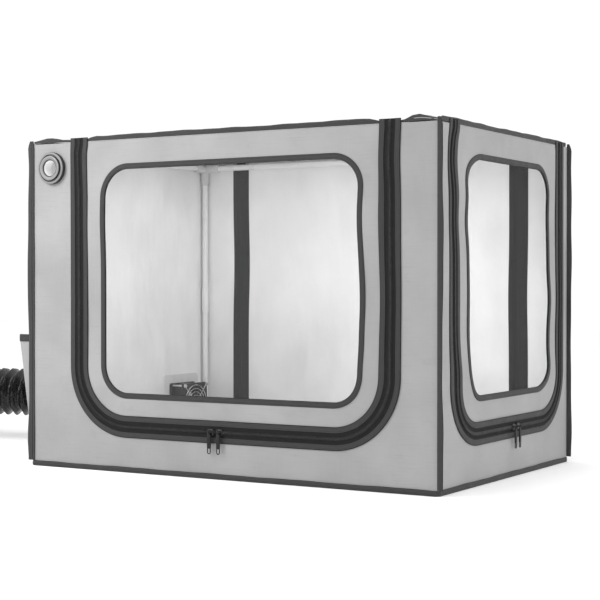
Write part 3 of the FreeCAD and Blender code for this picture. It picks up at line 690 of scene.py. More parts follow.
def course(box, reach, ring=False, square_low=False, square_top=False):
    """Down the left side of a box, along its foot and up its right side; a ring goes on along the top."""
    left, bottom, right, top = box
    corners = [
        ((left, bottom), STEP_DOWN, STEP_RIGHT, square_low),
        ((right, bottom), STEP_RIGHT, STEP_UP, square_low),
        ((right, top), STEP_UP, STEP_LEFT, square_top),
        ((left, top), STEP_LEFT, STEP_DOWN, square_top),
    ]
    turns = [
        turn(np.array(spot), before, after, reach, square)
        for spot, before, after, square in corners[: 4 if ring else 2]
    ]
    if not ring:
        turns = [np.array([[left, top]]), *turns, np.array([[right, top]])]
    points = []
    for number, part in enumerate(turns):
        points.append(part)
        if ring or number + 1 < len(turns):
            following = turns[(number + 1) % len(turns)]
            share = np.linspace(0, 1, STRAIGHT_STEPS + 1)[1:-1, None]
            points.append(part[-1] * (1 - share) + following[0] * share)
    return np.vstack(points)


def grown(box, by, ring=False):
    left, bottom, right, top = box
    return left - by, bottom - by, right + by, top + (by if ring else 0)


def distances(points):
    """How far along a course each of its points is."""
    steps = np.linalg.norm(np.diff(points, axis=0), axis=1)
    return np.concatenate([[0], np.cumsum(steps)])


def spread_between(first, second, rows):
    """Rows of points from one course to another."""
    share = np.linspace(0, 1, rows + 1)[:, None, None]
    return first * (1 - share) + second * share


def wrinkle(flat, weight, seed, height):
    """Fine out-of-plane creasing of cloth at flat places, in metres."""
    found = np.zeros(flat.shape[:-1])
    for index in np.ndindex(found.shape):
        if weight[index] == 0:
            continue
        x, y = flat[index]
        broad = noise.noise(Vector((x * 9, y * 6, seed)))
        crease = noise.noise(Vector((x * 26 + 3 * broad, y * 13, seed + 7.3)))
        found[index] = broad + 0.45 * crease - 0.25 * abs(crease)
    return found * weight * height


def cloth(
    name, wall, flat, weight, seed, skins=("cover_fabric", "lining"), wrap=False, out=0.0, thick=CLOTH,
    height=1.9 * MM,
):
    """A sheet on a wall, over a grid of flat places; weight says how freely it wrinkles at each."""
    lift = wrinkle(flat, weight, seed, height)
    front = wall.place(flat, out + lift)
    back = wall.place(flat, out - thick + lift)
    return shell(name, front, back, list(skins), flat, wrap)


def edge_weight(rows, columns, low=1, high=1):
    """Grid weights that fade to nothing at the first and the last rows."""
    share = np.arange(rows) / (rows - 1)
    ease = np.ones(rows)
    if low:
        ease = ease * smooth(share, 0, 0.3)
    if high:
        ease = ease * smooth(1 - share, 0, 0.3)
    return np.repeat(ease[:, None], columns, axis=1)


def bore(piece, centre, axis, radius, depth=20 * MM):
    """Cuts a round hole through a piece."""
    profile = [(0.0001, -depth), (radius, -depth), (radius, depth), (0.0001, depth)]
    cutter = lathe("cutter", profile, centre, axis, ["cover_fabric"], steps=64)
    modifier = piece.modifiers.new("bore", "BOOLEAN")
    modifier.operation = "DIFFERENCE"
    modifier.solver = "EXACT"
    modifier.object = cutter
    mesh = bpy.data.meshes.new_from_object(piece.evaluated_get(bpy.context.evaluated_depsgraph_get()))
    piece.modifiers.clear()
    piece.data = mesh
    mesh.set_sharp_from_angle(angle=math.radians(40))
    bpy.data.objects.remove(cutter)


# ---------------------------------------------------------------- duct hose

def spline_points(route):
    """Points along the smooth line that a route's points control."""
    line = bpy.data.curves.new("hose_line", "CURVE")
    line.dimensions = "3D"
    line.resolution_u = 64
    spline = line.splines.new("NURBS")
    spline.points.add(len(route) - 1)
    for point, spot in zip(spline.points, route):
        point.co = (*spot, 1)
    spline.order_u = 3
    spline.use_endpoint_u = True
    holder = bpy.data.objects.new("hose_line", line)
    bpy.context.scene.collection.objects.link(holder)
    mesh = bpy.data.meshes.new_from_object(holder)
    points = np.array([vertex.co for vertex in mesh.vertices])
    bpy.data.objects.remove(holder)
    return points


def evenly(points, step):
    """Points at equal steps along a line."""
    far = distances(points)
    count = int(round(far[-1] / step))
    at = np.linspace(0, far[-1], count + 1)
    return np.stack([np.interp(at, far, points[:, axis]) for axis in range(3)], 1), at


def sections(points):
    """Two unit vectors across a line at each of its points, without twist."""
    ways = np.gradient(points, axis=0)
    ways /= np.linalg.norm(ways, axis=1)[:, None]
    side = np.cross(ways[0], UP)
    sides = []
    for way in ways:
        side = side - way * np.dot(side, way)
        side = side / np.linalg.norm(side)
        sides.append(side)
    sides = np.array(sides)
    return sides, np.cross(sides, ways)


def duct_hose():
    """Hose of coated cloth over a wire helix: the skin sags between the turns of the wire."""
    points, far = evenly(spline_points(HOSE_ROUTE), RIB_PITCH / 11)
    sides, tops = sections(points)
    angles = np.linspace(0, math.tau, 72, endpoint=False)
    phase = far[:, None] / RIB_PITCH - angles[None, :] / math.tau
    turn_share = phase - np.floor(phase)
    sag = 1 - np.abs(2 * turn_share - 1) ** 1.3
    ends = np.minimum(far, far[-1] - far)
    depth = CUFF_DEPTH + (RIB_DEPTH - CUFF_DEPTH) * smooth(ends, CUFF_LENGTH, CUFF_LENGTH + 28 * MM)
    rib = np.floor(phase)
    crumple = (
        np.sin(9 * angles + 2.1 * rib) + 0.7 * np.sin(15 * angles - 3.7 * rib)
        + 0.5 * np.sin(5 * angles + rib)
    )
    free = smooth(ends, CUFF_LENGTH, CUFF_LENGTH + 28 * MM)[:, None]
    radius = HOSE_RADIUS - depth[:, None] * sag - 0.6 * MM * (1 + crumple / 2.2) * sag * free
    spokes = np.cos(angles)[None, :, None] * sides[:, None] + np.sin(angles)[None, :, None] * tops[:, None]
    outer = points[:, None] + spokes * radius[..., None]
    inner = points[:, None] + spokes * (radius - HOSE_SKIN)[..., None]
    rows, columns = radius.shape
    count = rows * columns
    faces = quads(rows, columns, wrap_columns=True)
    faces += [[number + count for number in corners] for corners in faces]
    for first in (0, count - columns):
        ring = [first + step for step in range(columns)]
        faces += [[a, b, b + count, a + count] for a, b in zip(ring, ring[1:] + ring[:1])]
    band = np.stack(np.broadcast_arrays(far[:, None], (angles * HOSE_RADIUS)[None, :]), -1).reshape(-1, 2)
    both = np.vstack([outer.reshape(-1, 3), inner.reshape(-1, 3)])
    hose = build("duct_hose_skin", both, faces, ["duct_fabric"], {"band": np.vstack([band, band])}, crisp=60)
    settle(hose, "root", "duct_fabric", "duct_hose")


duct_hose()


# ---------------------------------------------------------------- zips

def zip_box(side):
    """Centre line of a door's zip: its box on the wall."""
    left, bottom, right, top = WALLS[side].box(f"{side}_zip_outer")[0]
    return left + TAPE_HALF, bottom + TAPE_HALF, right - TAPE_HALF, top


def above(box, top):
    """The same box with its top moved to a height."""
    return (*box[:3], top)


def band_on(wall, name, box, reach, section, skin, ring=False, crisp=50):
    """A closed section of (across, out) points swept round a course; across is away from the middle."""
    courses = [course(grown(box, across, ring), reach + across, ring) for across, _ in section]
    rings = np.stack([wall.place(points, out) for points, (_, out) in zip(courses, section)], 1)
    along = distances(course(box, reach, ring))
    return strand(name, rings, [skin], along, [across for across, _ in section], wrap=ring, crisp=crisp)


def pillow(near, far, low, high, dome=0.35):
    """Section of a flat folded tape between two edges: flat below, softly domed above."""
    wide = far - near
    tall = high - low
    return [
        (near, low + 0.25 * tall), (near + 0.06 * wide, low),
        (far - 0.06 * wide, low), (far, low + 0.25 * tall),
        (far, low + 0.55 * tall), (far - 0.05 * wide, low + (1 - dome) * tall),
        (far - 0.2 * wide, low + 0.93 * tall),
        (near + 0.5 * wide, high), (near + 0.2 * wide, low + 0.93 * tall),
        (near + 0.05 * wide, low + (1 - dome) * tall), (near, low + 0.55 * tall),
    ]


def mirrored(section, way):
    """The same section on the outer (1) or the inner (-1) side of the zip's centre line."""
    return [(way * across, out) for across, out in section]


def zip_teeth(wall, name, box, reach, way, phase):
    """One side's coil: a row of nylon loops that reach a little past the centre line."""
    centre = course(box, reach)
    far = distances(centre)
    heading = np.gradient(centre, axis=0)
    heading /= np.linalg.norm(heading, axis=1)[:, None]
    at = np.arange(TOOTH_PITCH * (1 + phase), far[-1] - TOOTH_PITCH, TOOTH_PITCH)
    spots = np.stack([np.interp(at, far, centre[:, axis]) for axis in range(2)], 1)
    ways = np.stack([np.interp(at, far, heading[:, axis]) for axis in range(2)], 1)
    away = np.stack([ways[:, 1], -ways[:, 0]], 1) * way
    low, high = TAPE_THICK, TOOTH_TOP
    middle = (low + high) / 2
    half = TOOTH_WIDE / 2
    loop = [
        (-half, middle - 0.5 * MM), (0, low), (half, middle - 0.5 * MM),
        (half, middle + 0.4 * MM), (0, high), (-half, middle + 0.4 * MM),
    ]
    stations = [(-TOOTH_REACH, 0.55), (-0.2 * MM, 1.0), (TOOTH_FOOT - 0.6 * MM, 0.95), (TOOTH_FOOT, 0.5)]
    rings = []
    for across, size in stations:
        for step, out in loop:
            flat = spots + away * across + ways * step * size
            rings.append(wall.place(flat, middle + (out - middle) * size))
    points = np.stack(rings, 1)
    section = len(loop)
    one = quads(len(stations), section, wrap_columns=True)
    one.append(list(range(section)))
    one.append(list(range((len(stations) - 1) * section, len(stations) * section)))
    per = len(stations) * section
    faces = [[number + tooth * per for number in corners] for tooth in range(len(at)) for corners in one]
    return build(name, points, faces, ["zip_coil"], crisp=30)


def at_hinge(piece):
    """Bakes the piece's transform into its mesh."""
    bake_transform(piece)
    return piece


def zips():
    for side in SLIDER_SIDES:
        wall = WALLS[side]
        box = zip_box(side)
        outside = above(box, HEAD_HIGH.z - ZIP_SHORT)
        reach = ZIP_RADIUS[side]
        tape = [
            (SLIT, 0.0), (TAPE_HALF, 0.0), (TAPE_HALF, 0.7 * MM), (TAPE_HALF - 0.6 * MM, TAPE_THICK),
            (SLIT, TAPE_THICK),
        ]
        over = pillow(STRIP_INSIDE, TAPE_HALF + 0.3 * MM, TAPE_THICK - 0.1 * MM, TAPE_THICK + STRIP_THICK)
        under = pillow(STRIP_INSIDE, TAPE_HALF + 0.3 * MM, 0.0, STRIP_THICK)
        under = [(across, -CLOTH - out) for across, out in under]
        for half, way, phase in (("outer", 1, 0.0), ("inner", -1, 0.5)):
            node = f"{side}_zip_{half}"
            band = band_on(wall, f"{node}_tape", outside, reach, mirrored(tape, way), "zip_tape")
            strips = [
                band_on(wall, "strip", outside, reach, mirrored(over, way), "zip_strip"),
                band_on(wall, "strip", box, reach, mirrored(under, way), "zip_tape"),
            ]
            strip = join(f"{node}_binding", strips)
            teeth = zip_teeth(wall, f"{node}_coil", outside, reach, way, phase)
            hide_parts(node)
            for piece, slot in ((band, "zip_tape"), (strip, "binding_tape"), (teeth, "zip_tape")):
                if half == "outer":
                    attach(piece, "root")
                else:
                    at_hinge(piece)


zips()


# ---------------------------------------------------------------- walls, doors, roof and floor


def door_wall(side, seed):
    """The wall round a door: a U of fabric from the zip out to the seams."""
    wall = WALLS[side]
    reach = ZIP_RADIUS[side] + FABRIC_EDGE
    left, bottom, right, top = wall.box(f"{side}_wall")[0]
    inner_box = grown(zip_box(side), FABRIC_EDGE)
    inner_box = (*inner_box[:3], top)
    inner = course(inner_box, reach)
    outer = course((left, bottom, right, top), reach, square_low=True)
    flat = spread_between(inner, outer, 14)
    piece = cloth(f"{side}_wall_cloth", wall, flat, edge_weight(*flat.shape[:2]), seed)
    if side == "front":
        bore(piece, wall.point(PORT_X, PORT_Y, 0), wall.out, 19.2 * MM)
    settle(piece, "root", "cover_fabric", f"{side}_wall")


def window_door(side, seed):
    """A door with a window: fabric from the zip in to the window's edge, and the window's binding."""
    wall = WALLS[side]
    reach = ZIP_RADIUS[side] - FABRIC_EDGE
    left, bottom, right, _ = grown(zip_box(side), -FABRIC_EDGE)
    top = wall.box(f"{side}_wall")[0][3] - DOOR_GAP
    outer = course((left, bottom, right, top), reach, ring=True, square_top=True)
    pane, _ = wall.box(f"{side}_window_binding")
    opening = grown(pane, -PANE_LAP, ring=True)
    inner = course(opening, PANE_RADIUS - PANE_LAP, ring=True)
    flat = spread_between(outer, inner, 12)
    piece = cloth(f"{side}_door_cloth", wall, flat, edge_weight(*flat.shape[:2]), seed, wrap=True)
    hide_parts(f"{side}_door")
    at_hinge(piece)
    section = pillow(0, PANE_BINDING, 0, PANE_BINDING_THICK)
    front = band_on(
        wall, "strip", pane, PANE_RADIUS, [(-a, out) for a, out in section], "pane_strip", ring=True,
    )
    behind = [(-a, -CLOTH - FILM_THICK - 0.8 * out) for a, out in section]
    back = band_on(wall, "strip", pane, PANE_RADIUS, behind, "pane_strip", ring=True)
    binding = join(f"{side}_window_binding_tape", [front, back])
    settle(binding, f"{side}_flap", "binding_tape", f"{side}_window_binding")


def level_rows(box, radius, rows, columns):
    """Grid over a box with rounded corners: level rows whose ends follow the outline."""
    left, bottom, right, top = box
    low = bottom + radius * (1 - np.cos(np.linspace(0, math.pi / 2, 13)))
    high = top - radius * (1 - np.cos(np.linspace(math.pi / 2, 0, 13)))
    heights = np.concatenate([low, np.linspace(bottom + radius, top - radius, rows)[1:-1], high])
    inset = np.maximum(bottom + radius - heights, heights - top + radius)
    inset = radius - np.sqrt(np.clip(radius ** 2 - np.clip(inset, 0, radius) ** 2, 0, None))
    share = np.linspace(0, 1, columns)[None, :]
    x = (left + inset)[:, None] * (1 - share) + (right - inset)[:, None] * share
    return np.stack([x, np.repeat(heights[:, None], columns, axis=1)], -1)


def inner_weight(flat, box, margin=40 * MM):
    """Wrinkle weights that fade towards the four sides of a box."""
    left, bottom, right, top = box
    x, y = flat[..., 0], flat[..., 1]
    return (
        smooth(x - left, 0, margin) * smooth(right - x, 0, margin)
        * smooth(y - bottom, 0, margin) * smooth(top - y, 0, margin)
    )


def window(side, seed):
    wall = WALLS[side]
    pane, _ = wall.box(f"{side}_window_binding")
    box = grown(pane, -FILM_INSET, ring=True)
    flat = level_rows(box, PANE_RADIUS - FILM_INSET, 40, 60)
    weight = inner_weight(flat, box, 60 * MM)
    film = cloth(
        f"{side}_window_film", wall, flat, weight, seed, ("window_film",), out=-CLOTH - 0.05 * MM,
        thick=FILM_THICK, height=1.6 * MM,
    )
    settle(film, f"{side}_flap", "window_film", f"{side}_window")


def rear_door(seed):
    wall = WALLS["rear"]
    left, bottom, right, _ = grown(zip_box("rear"), -FABRIC_EDGE)
    top = wall.box("rear_wall")[0][3] - DOOR_GAP
    radius = ZIP_RADIUS["rear"] - FABRIC_EDGE
    low = bottom + radius * (1 - np.cos(np.linspace(0, math.pi / 2, 13)))
    heights = np.concatenate([low, np.linspace(bottom + radius, top, 60)[1:]])
    inset = radius - np.sqrt(radius ** 2 - np.clip(bottom + radius - heights, 0, radius) ** 2)
    share = np.linspace(0, 1, 80)[None, :]
    x = (left + inset)[:, None] * (1 - share) + (right - inset)[:, None] * share
    flat = np.stack([x, np.repeat(heights[:, None], 80, axis=1)], -1)
    weight = inner_weight(flat, (left, bottom, right, top))
    piece = cloth("rear_door_cloth", wall, flat, weight, seed, height=2.4 * MM)
    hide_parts("rear_door")
    at_hinge(piece)


def left_wall(seed):
    wall = WALLS["left"]
    box, _ = wall.box("left_wall")
    left, bottom, right, top = box
    x, y = np.meshgrid(np.linspace(left, right, 84), np.linspace(bottom, top, 84))
    flat = np.stack([x, y], -1)
    calm = smooth(np.hypot(x - FAN_X, y - FAN_Y), 92 * MM, 140 * MM)
    piece = cloth("left_wall_cloth", wall, flat, inner_weight(flat, box) * calm, seed, height=2.2 * MM)
    bore(piece, wall.point(FAN_X, FAN_Y, 0), wall.out, 43.5 * MM)
    settle(piece, "root", "cover_fabric", "left_wall")


# Swellings of the roof beside its front seam, seen over the edge: along, back from the front,
# spreads, height.
ROOF_SWELLS = [
    (0.404, -0.276, 0.034, 0.026, 0.0125),
    (-0.400, -0.290, 0.030, 0.030, 0.003),
]
ROOF_SAG = 9 * MM


def roof_and_floor():
    low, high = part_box("roof_panel")
    x, y = np.meshgrid(np.linspace(low.x, high.x, 110), np.linspace(low.y, high.y, 90))
    flat = np.stack([x, y], -1)
    free = inner_weight(flat, (low.x, low.y, high.x, high.y), 60 * MM)
    sag = (
        -ROOF_SAG * np.sin(math.pi * (x - low.x) / (high.x - low.x))
        * np.sin(math.pi * (y - low.y) / (high.y - low.y))
    )
    sag = sag * free + wrinkle(flat, free, 5.1, 2.0 * MM)
    for swell_x, swell_y, wide, deep, tall in ROOF_SWELLS:
        sag += tall * np.exp(-(((x - swell_x) / wide) ** 2 + ((y - swell_y) / deep) ** 2))
    upper = np.stack([x, y, high.z + sag], -1)
    lower = np.stack([x, y, low.z + sag], -1)
    roof = shell("roof_cloth", upper, lower, ["cover_fabric", "lining"], flat)
    settle(roof, "root", "cover_fabric", "roof_panel")
    low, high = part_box("floor_panel")
    lift = np.abs(wrinkle(flat, free, 9.4, 1.2 * MM))
    upper = np.stack([x, y, high.z + lift], -1)
    lower = np.stack([x, y, low.z + lift], -1)
    floor = shell("floor_cloth", upper, lower, ["lining", "cover_fabric"], flat)
    settle(floor, "root", "cover_fabric", "floor_panel")


for number, wall_side in enumerate(SLIDER_SIDES):
    door_wall(wall_side, 1.7 + 3 * number)
for number, wall_side in enumerate(("front", "right")):
    window_door(wall_side, 11.2 + 3 * number)
    window(wall_side, 21.9 + 3 * number)
rear_door(31.4)
left_wall(37.8)
roof_and_floor()


# ---------------------------------------------------------------- bound seams

SEAM_CORNER = 7 * MM


def ring_round(low, high, inset, reach):
    """A level course round the tent, with rounded corners: points and distances from the front left."""
    box = (low.x + inset, low.y + inset, high.x - inset, high.y - inset)
    return course(box, reach, ring=True)


def wave(far, *parts):
    """A sum of sine waves, each (wavelength, phase, height)."""
    return sum(height * np.sin(math.tau * far / long + phase) for long, phase, height in parts)


def seam_height(points):
    """How far the roof's bound seam stands up at each point of its course; it lies down over the zips."""
    far = distances(points)
    tall = 9.6 * MM + wave(far, (0.31, 0.4, 0.5 * MM), (0.117, 1.3, 0.45 * MM), (0.053, 2.2, 0.25 * MM))
    front = points[:, 1] < HEAD_LOW.y + 10 * MM
    left, _, right, _ = zip_box("front")
    x = points[:, 0] - WALLS["front"].origin[0]
    near_left = np.exp(-(((x - left) / (26 * MM)) ** 4))
    near_right = np.exp(-(((x - right) / (27 * MM)) ** 6))
    fold = np.exp(-(((x - right - 52 * MM) / (22 * MM)) ** 2)) * (x > right)
    before_left = smooth(left - 10 * MM - x, 0, 10 * MM) * (
        0.20 + 0.30 * np.cos((x - 12 * MM) / (84 * MM) * math.tau)
    )
    held = np.maximum(near_left * 0.72, near_right * 0.74)
    held = np.maximum(held, before_left) + 0.5 * smooth(x, right + 14 * MM, right + 30 * MM)
    by_corner = 0.5 * np.exp(-(((points[:, 1] - HEAD_LOW.y) / (34 * MM)) ** 2)) * (points[:, 0] < 0)
    return np.where(front, tall * (1 - held) + 8 * MM * fold, tall * (1 - by_corner))


def roof_seam():
    """Folded tape that binds the roof to the walls; it stands up, and wavers."""
    points = ring_round(HEAD_LOW, HEAD_HIGH, 1.5 * MM, SEAM_CORNER)
    far = distances(points)
    tall = seam_height(points)
    heading = np.roll(points, -1, axis=0) - np.roll(points, 1, axis=0)
    heading /= np.linalg.norm(heading, axis=1)[:, None]
    away = np.stack([heading[:, 1], -heading[:, 0]], 1)
    lean = wave(far, (0.23, 0.7, 0.9 * MM), (0.083, 2.6, 0.5 * MM)) + 0.3 * MM
    section = [
        (-1.2, -0.06), (-1.55, 0.2), (-1.7, 0.5), (-1.5, 0.8), (-0.8, 0.96), (0, 1.0),
        (0.8, 0.96), (1.5, 0.8), (1.7, 0.5), (1.55, 0.2), (1.2, -0.06),
    ]
    rings = []
    for across, share in section:
        flat = points + away * (across * MM + lean * max(share, 0) ** 1.5)[:, None]
        height = HEAD_LOW.z + tall * share
        rings.append(np.stack([flat[:, 0], flat[:, 1], height], -1))
    across = [share * 10 * MM for _, share in section]
    seam = strand("top_seam_binding", np.stack(rings, 1), ["seam_strip"], far, across, wrap=True)
    settle(seam, "root", "binding_tape", "top_piping")


def foot_seam():
    """Folded tape that binds the floor to the walls."""
    points = ring_round(FOOT_LOW, FOOT_HIGH, 1.5 * MM, SEAM_CORNER)
    far = distances(points)
    heading = np.roll(points, -1, axis=0) - np.roll(points, 1, axis=0)
    heading /= np.linalg.norm(heading, axis=1)[:, None]
    away = np.stack([heading[:, 1], -heading[:, 0]], 1)
    tall = 9.6 * MM + wave(far, (0.19, 0.2, 0.35 * MM), (0.071, 1.9, 0.2 * MM))
    lean = wave(far, (0.27, 1.7, 0.45 * MM), (0.093, 0.6, 0.25 * MM))
    section = [
        (-1.3, 0), (-1.5, 0.2), (-1.5, 0.5), (-1.5, 0.8), (-1.0, 0.96), (0, 1.0),
        (1.0, 0.94), (1.6, 0.75), (1.8, 0.45), (1.5, 0.15), (1.1, 0),
    ]
    rings = []
    for across, share in section:
        flat = points + away * (across * MM + lean * share * (1 - share) * 3)[:, None]
        rings.append(np.stack([flat[:, 0], flat[:, 1], tall * share], -1))
    across = [share * 10 * MM for _, share in section]
    seam = strand("bottom_seam_binding", np.stack(rings, 1), ["seam_strip"], far, across, wrap=True)
    settle(seam, "root", "binding_tape", "bottom_piping")


def corner_seams():
    """Folded tapes of the four upright edges, standing out sideways in line with the long walls."""
    strips = []
    heights = np.linspace(EDGE_LOW.z, EDGE_HIGH.z - 4 * MM, 90)
    wall_x = WALLS["right"].origin[0]
    for number, (way_x, way_y) in enumerate(((1, -1), (1, 1), (-1, 1), (-1, -1))):
        base_y = way_y * (EDGE_HIGH.y + 1.2 * MM)
        settled = smooth(heights, 0.0, 0.05) * smooth(heights[-1] - heights, 0, 0.05)
        hem = 0.4 if way_x < 0 else 0.02
        out = (11 if way_x < 0 else 9.5) * MM + settled * wave(
            heights + number, (0.33, 0.5, 0.6 * MM), (0.118, 1.9, 0.4 * MM),
        )
        lean = settled * wave(heights + 2 * number, (0.41, 0.9, 1.4 * MM), (0.15, 2.4, 0.6 * MM))
        section = [
            (-1.3, -hem), (-1.6, 0.3), (-1.6, 0.6), (-1.1, 0.92), (0, 1.0),
            (1.1, 0.92), (1.6, 0.6), (1.6, 0.3), (1.3, -hem),
        ]
        tip = 0.5 + 0.5 * smooth(heights[-1] - heights, 0, 0.012)
        rings = []
        for across, share in section:
            x = way_x * (wall_x + out * share * tip)
            y = base_y + across * MM + lean * max(share, 0)
            rings.append(np.stack(np.broadcast_arrays(x, y, heights), -1))
        across = [share * 10 * MM for _, share in section]
        strips.append(strand("strip", np.stack(rings, 1), ["seam_strip"], heights, across))
    seam = join("corner_seam_binding", strips)
    settle(seam, "root", "binding_tape", "corner_piping")


roof_seam()
foot_seam()
corner_seams()


# ---------------------------------------------------------------- pocket and port

def gusset_section(left, right, deep, radius):
    """Half a box seen from above: out along one gusset, across the front and back along the other."""
    side = np.linspace(0, deep - radius, 13)[:-1]
    bend = np.linspace(0, math.pi / 2, 8)
    across = np.linspace(left + radius, right - radius, 41)[1:-1]
    x = [np.full(12, left), left + radius * (1 - np.cos(bend)), across,
         right - radius * (1 - np.sin(bend)), np.full(12, right)]
    z = [
        side, deep - radius * (1 - np.sin(bend)), np.full(39, deep),
        deep - radius * (1 - np.cos(bend)), side[::-1],
    ]
    return np.concatenate(x), np.concatenate(z)


def pocket():
    """A bellows pocket with flat gussets, narrow at its foot, and a bound mouth."""
    wall = WALLS["left"]
    (left, bottom, right, top), (_, deep) = wall.box("side_pocket")
    heights = np.concatenate([
        bottom + np.array([0, 0.6, 1.8, 3.6, 6]) * MM, np.linspace(bottom + 9 * MM, top, 34),
    ])
    share = (heights - bottom) / (top - bottom)
    depth = (POCKET_FOOT + (deep - POCKET_FOOT) * share) * smooth(heights - bottom, -4 * MM, 10 * MM)
    rows = [gusset_section(left, right, row, min(POCKET_BEND, 0.4 * row)) for row in depth]
    x = np.array([row[0] for row in rows])
    z = np.array([row[1] for row in rows])
    y = np.repeat(heights[:, None], x.shape[1], axis=1)
    front = smooth(x - left, 0, 0.04) * smooth(right - x, 0, 0.04)
    girth = distances(np.stack([x[-1], z[-1]], -1))
    unrolled = np.stack([np.repeat(girth[None, :], len(heights), axis=0), y], -1)
    crease = wrinkle(unrolled, 0.35 + 0.65 * front, 51.3, 2.0 * MM)
    z = (
        0.3 * MM + z * (1 + 0.05 * front * np.sin(math.pi * share)[:, None])
        + crease * np.clip(z / depth[:, None], 0, 1)
    )
    x = x + 0.6 * crease * (1 - front)
    y = y - 3 * MM * (front * share[:, None] ** 6)
    face = wall.place(np.stack([x, y], -1), z)
    ways_x = np.gradient(face, axis=1)
    ways_y = np.gradient(face, axis=0)
    normals = np.cross(ways_x, ways_y)
    normals /= np.linalg.norm(normals, axis=2)[..., None]
    facing = np.sign(np.sum(normals[20, 40] * wall.out))
    inside = face - facing * normals * CLOTH
    bag = shell("side_pocket_cloth", face, inside, ["cover_fabric", "lining"], unrolled)
    settle(bag, "root", "cover_fabric", "side_pocket")
    section = [
        (-1.5, -0.9), (-1.8, 0.15), (-1.4, 0.85), (-0.6, 1.0),
        (0.6, 1.0), (1.4, 0.85), (1.8, 0.15), (1.5, -0.9),
    ]
    mouth = face[-1] - facing * normals[-1] * CLOTH / 2
    rings = []
    for step, tall in section:
        rings.append(mouth + facing * normals[-1] * step * MM + UP * (POCKET_RISE + tall * POCKET_HEM))
    reach = [t * POCKET_HEM for _, t in section]
    rim = strand("pocket_mouth_binding", np.stack(rings, 1), ["pocket_strip"], girth, reach)
    settle(rim, "root", "binding_tape", "pocket_binding")


def port():
    """Stepped ring of the filament port, with its barrel through the wall."""
    wall = WALLS["front"]
    profile = [
        (15, -12), (15, 8.6), (15.6, 9.8), (17.0, 10.6),
        (18.2, 11.0), (19.0, 11.6), (20.0, 12.0), (22.4, 12.0),
        (23.5, 11.5), (24.0, 10.6), (24.0, 7.6), (24.5, 6.9), (25.3, 6.9), (25.9, 7.8), (26.7, 8.8),
        (28.2, 9.0), (29.6, 8.7), (30.6, 7.8), (31.0, 6.6), (31.0, 0.4), (30.6, 0.0), (19, 0.0), (19, -12),
    ]
    section = [(radius * MM, out * MM) for radius, out in profile]
    steps = 120
    ring = lathe(
        "filament_port_ring", section, wall.point(PORT_X, PORT_Y, 0), wall.out,
        ["port_plastic", "port_painted_shade", "port_bore_painted_light"], steps,
    )
    # Painted shade: the steep side walls of the steps and the rim of the hole get the near-black second
    # material.
    following = section[1:] + section[:1]
    steep = [abs(b[1] - a[1]) > 1.2 * abs(b[0] - a[0]) for a, b in zip(section, following)]
    # Painted light: the bore and the barrel's back end get the pale third material, for the brightness seen
    # through the hole.
    paint = [2, 1, 1, *[int(side) for side in steep[3:-1]], 2]
    ring.data.polygons.foreach_set("material_index", np.array(paint * steps, np.int32))
    settle(ring, "root", "port_plastic", "port_flange")


pocket()
port()


# ---------------------------------------------------------------- zip sliders and pulls

def rounded(box, radius, steps=7):
    """Outline of a box with rounded corners, anticlockwise."""
    left, bottom, right, top = box
    points = []
    for number, (x, y) in enumerate(((right, top), (left, top), (left, bottom), (right, bottom))):
        middle = np.array([x - radius if x == right else x + radius, y - radius if y == top else y + radius])
        angles = (number + np.linspace(0, 1, steps)) * math.pi / 2
        points.append(middle + radius * np.stack([np.cos(angles), np.sin(angles)], 1))
    return np.vstack(points)


def plate(wall, name, box, radius, levels, skin):
    """A rounded plate whose edge steps in by each level's inset at that level's height out."""
    rings = np.array([
        wall.place(rounded(grown(box, -inset, ring=True), radius - inset), out) for inset, out in levels
    ])
    count = rings.shape[1]
    faces = quads(len(levels), count, wrap_columns=True)
    faces += [list(range(count)), list(range((len(levels) - 1) * count, len(levels) * count))]
    return build(name, rings, faces, [skin], crisp=45)


def wire(name, points, normal, radius, skin, ring=False, sides=14):
    """Round wire along a line that lies in the plane across a normal."""
    points = np.asarray(points)
    if ring:
        ways = np.roll(points, -1, axis=0) - np.roll(points, 1, axis=0)
    else:
        ways = np.gradient(points, axis=0)
    ways = ways / np.linalg.norm(ways, axis=1)[:, None]
    normal = np.asarray(normal, float)
    beside = np.cross(ways, normal)
    angles = np.linspace(0, math.tau, sides, endpoint=False)
    spokes = np.cos(angles)[None, :, None] * normal + np.sin(angles)[None, :, None] * beside[:, None]
    rings = points[:, None] + radius * spokes
    faces = quads(len(points), sides, wrap_rows=ring, wrap_columns=True)
    if not ring:
        faces += [list(range(sides)), list(range((len(points) - 1) * sides, len(points) * sides))]
    return build(name, rings, faces, [skin], crisp=60)


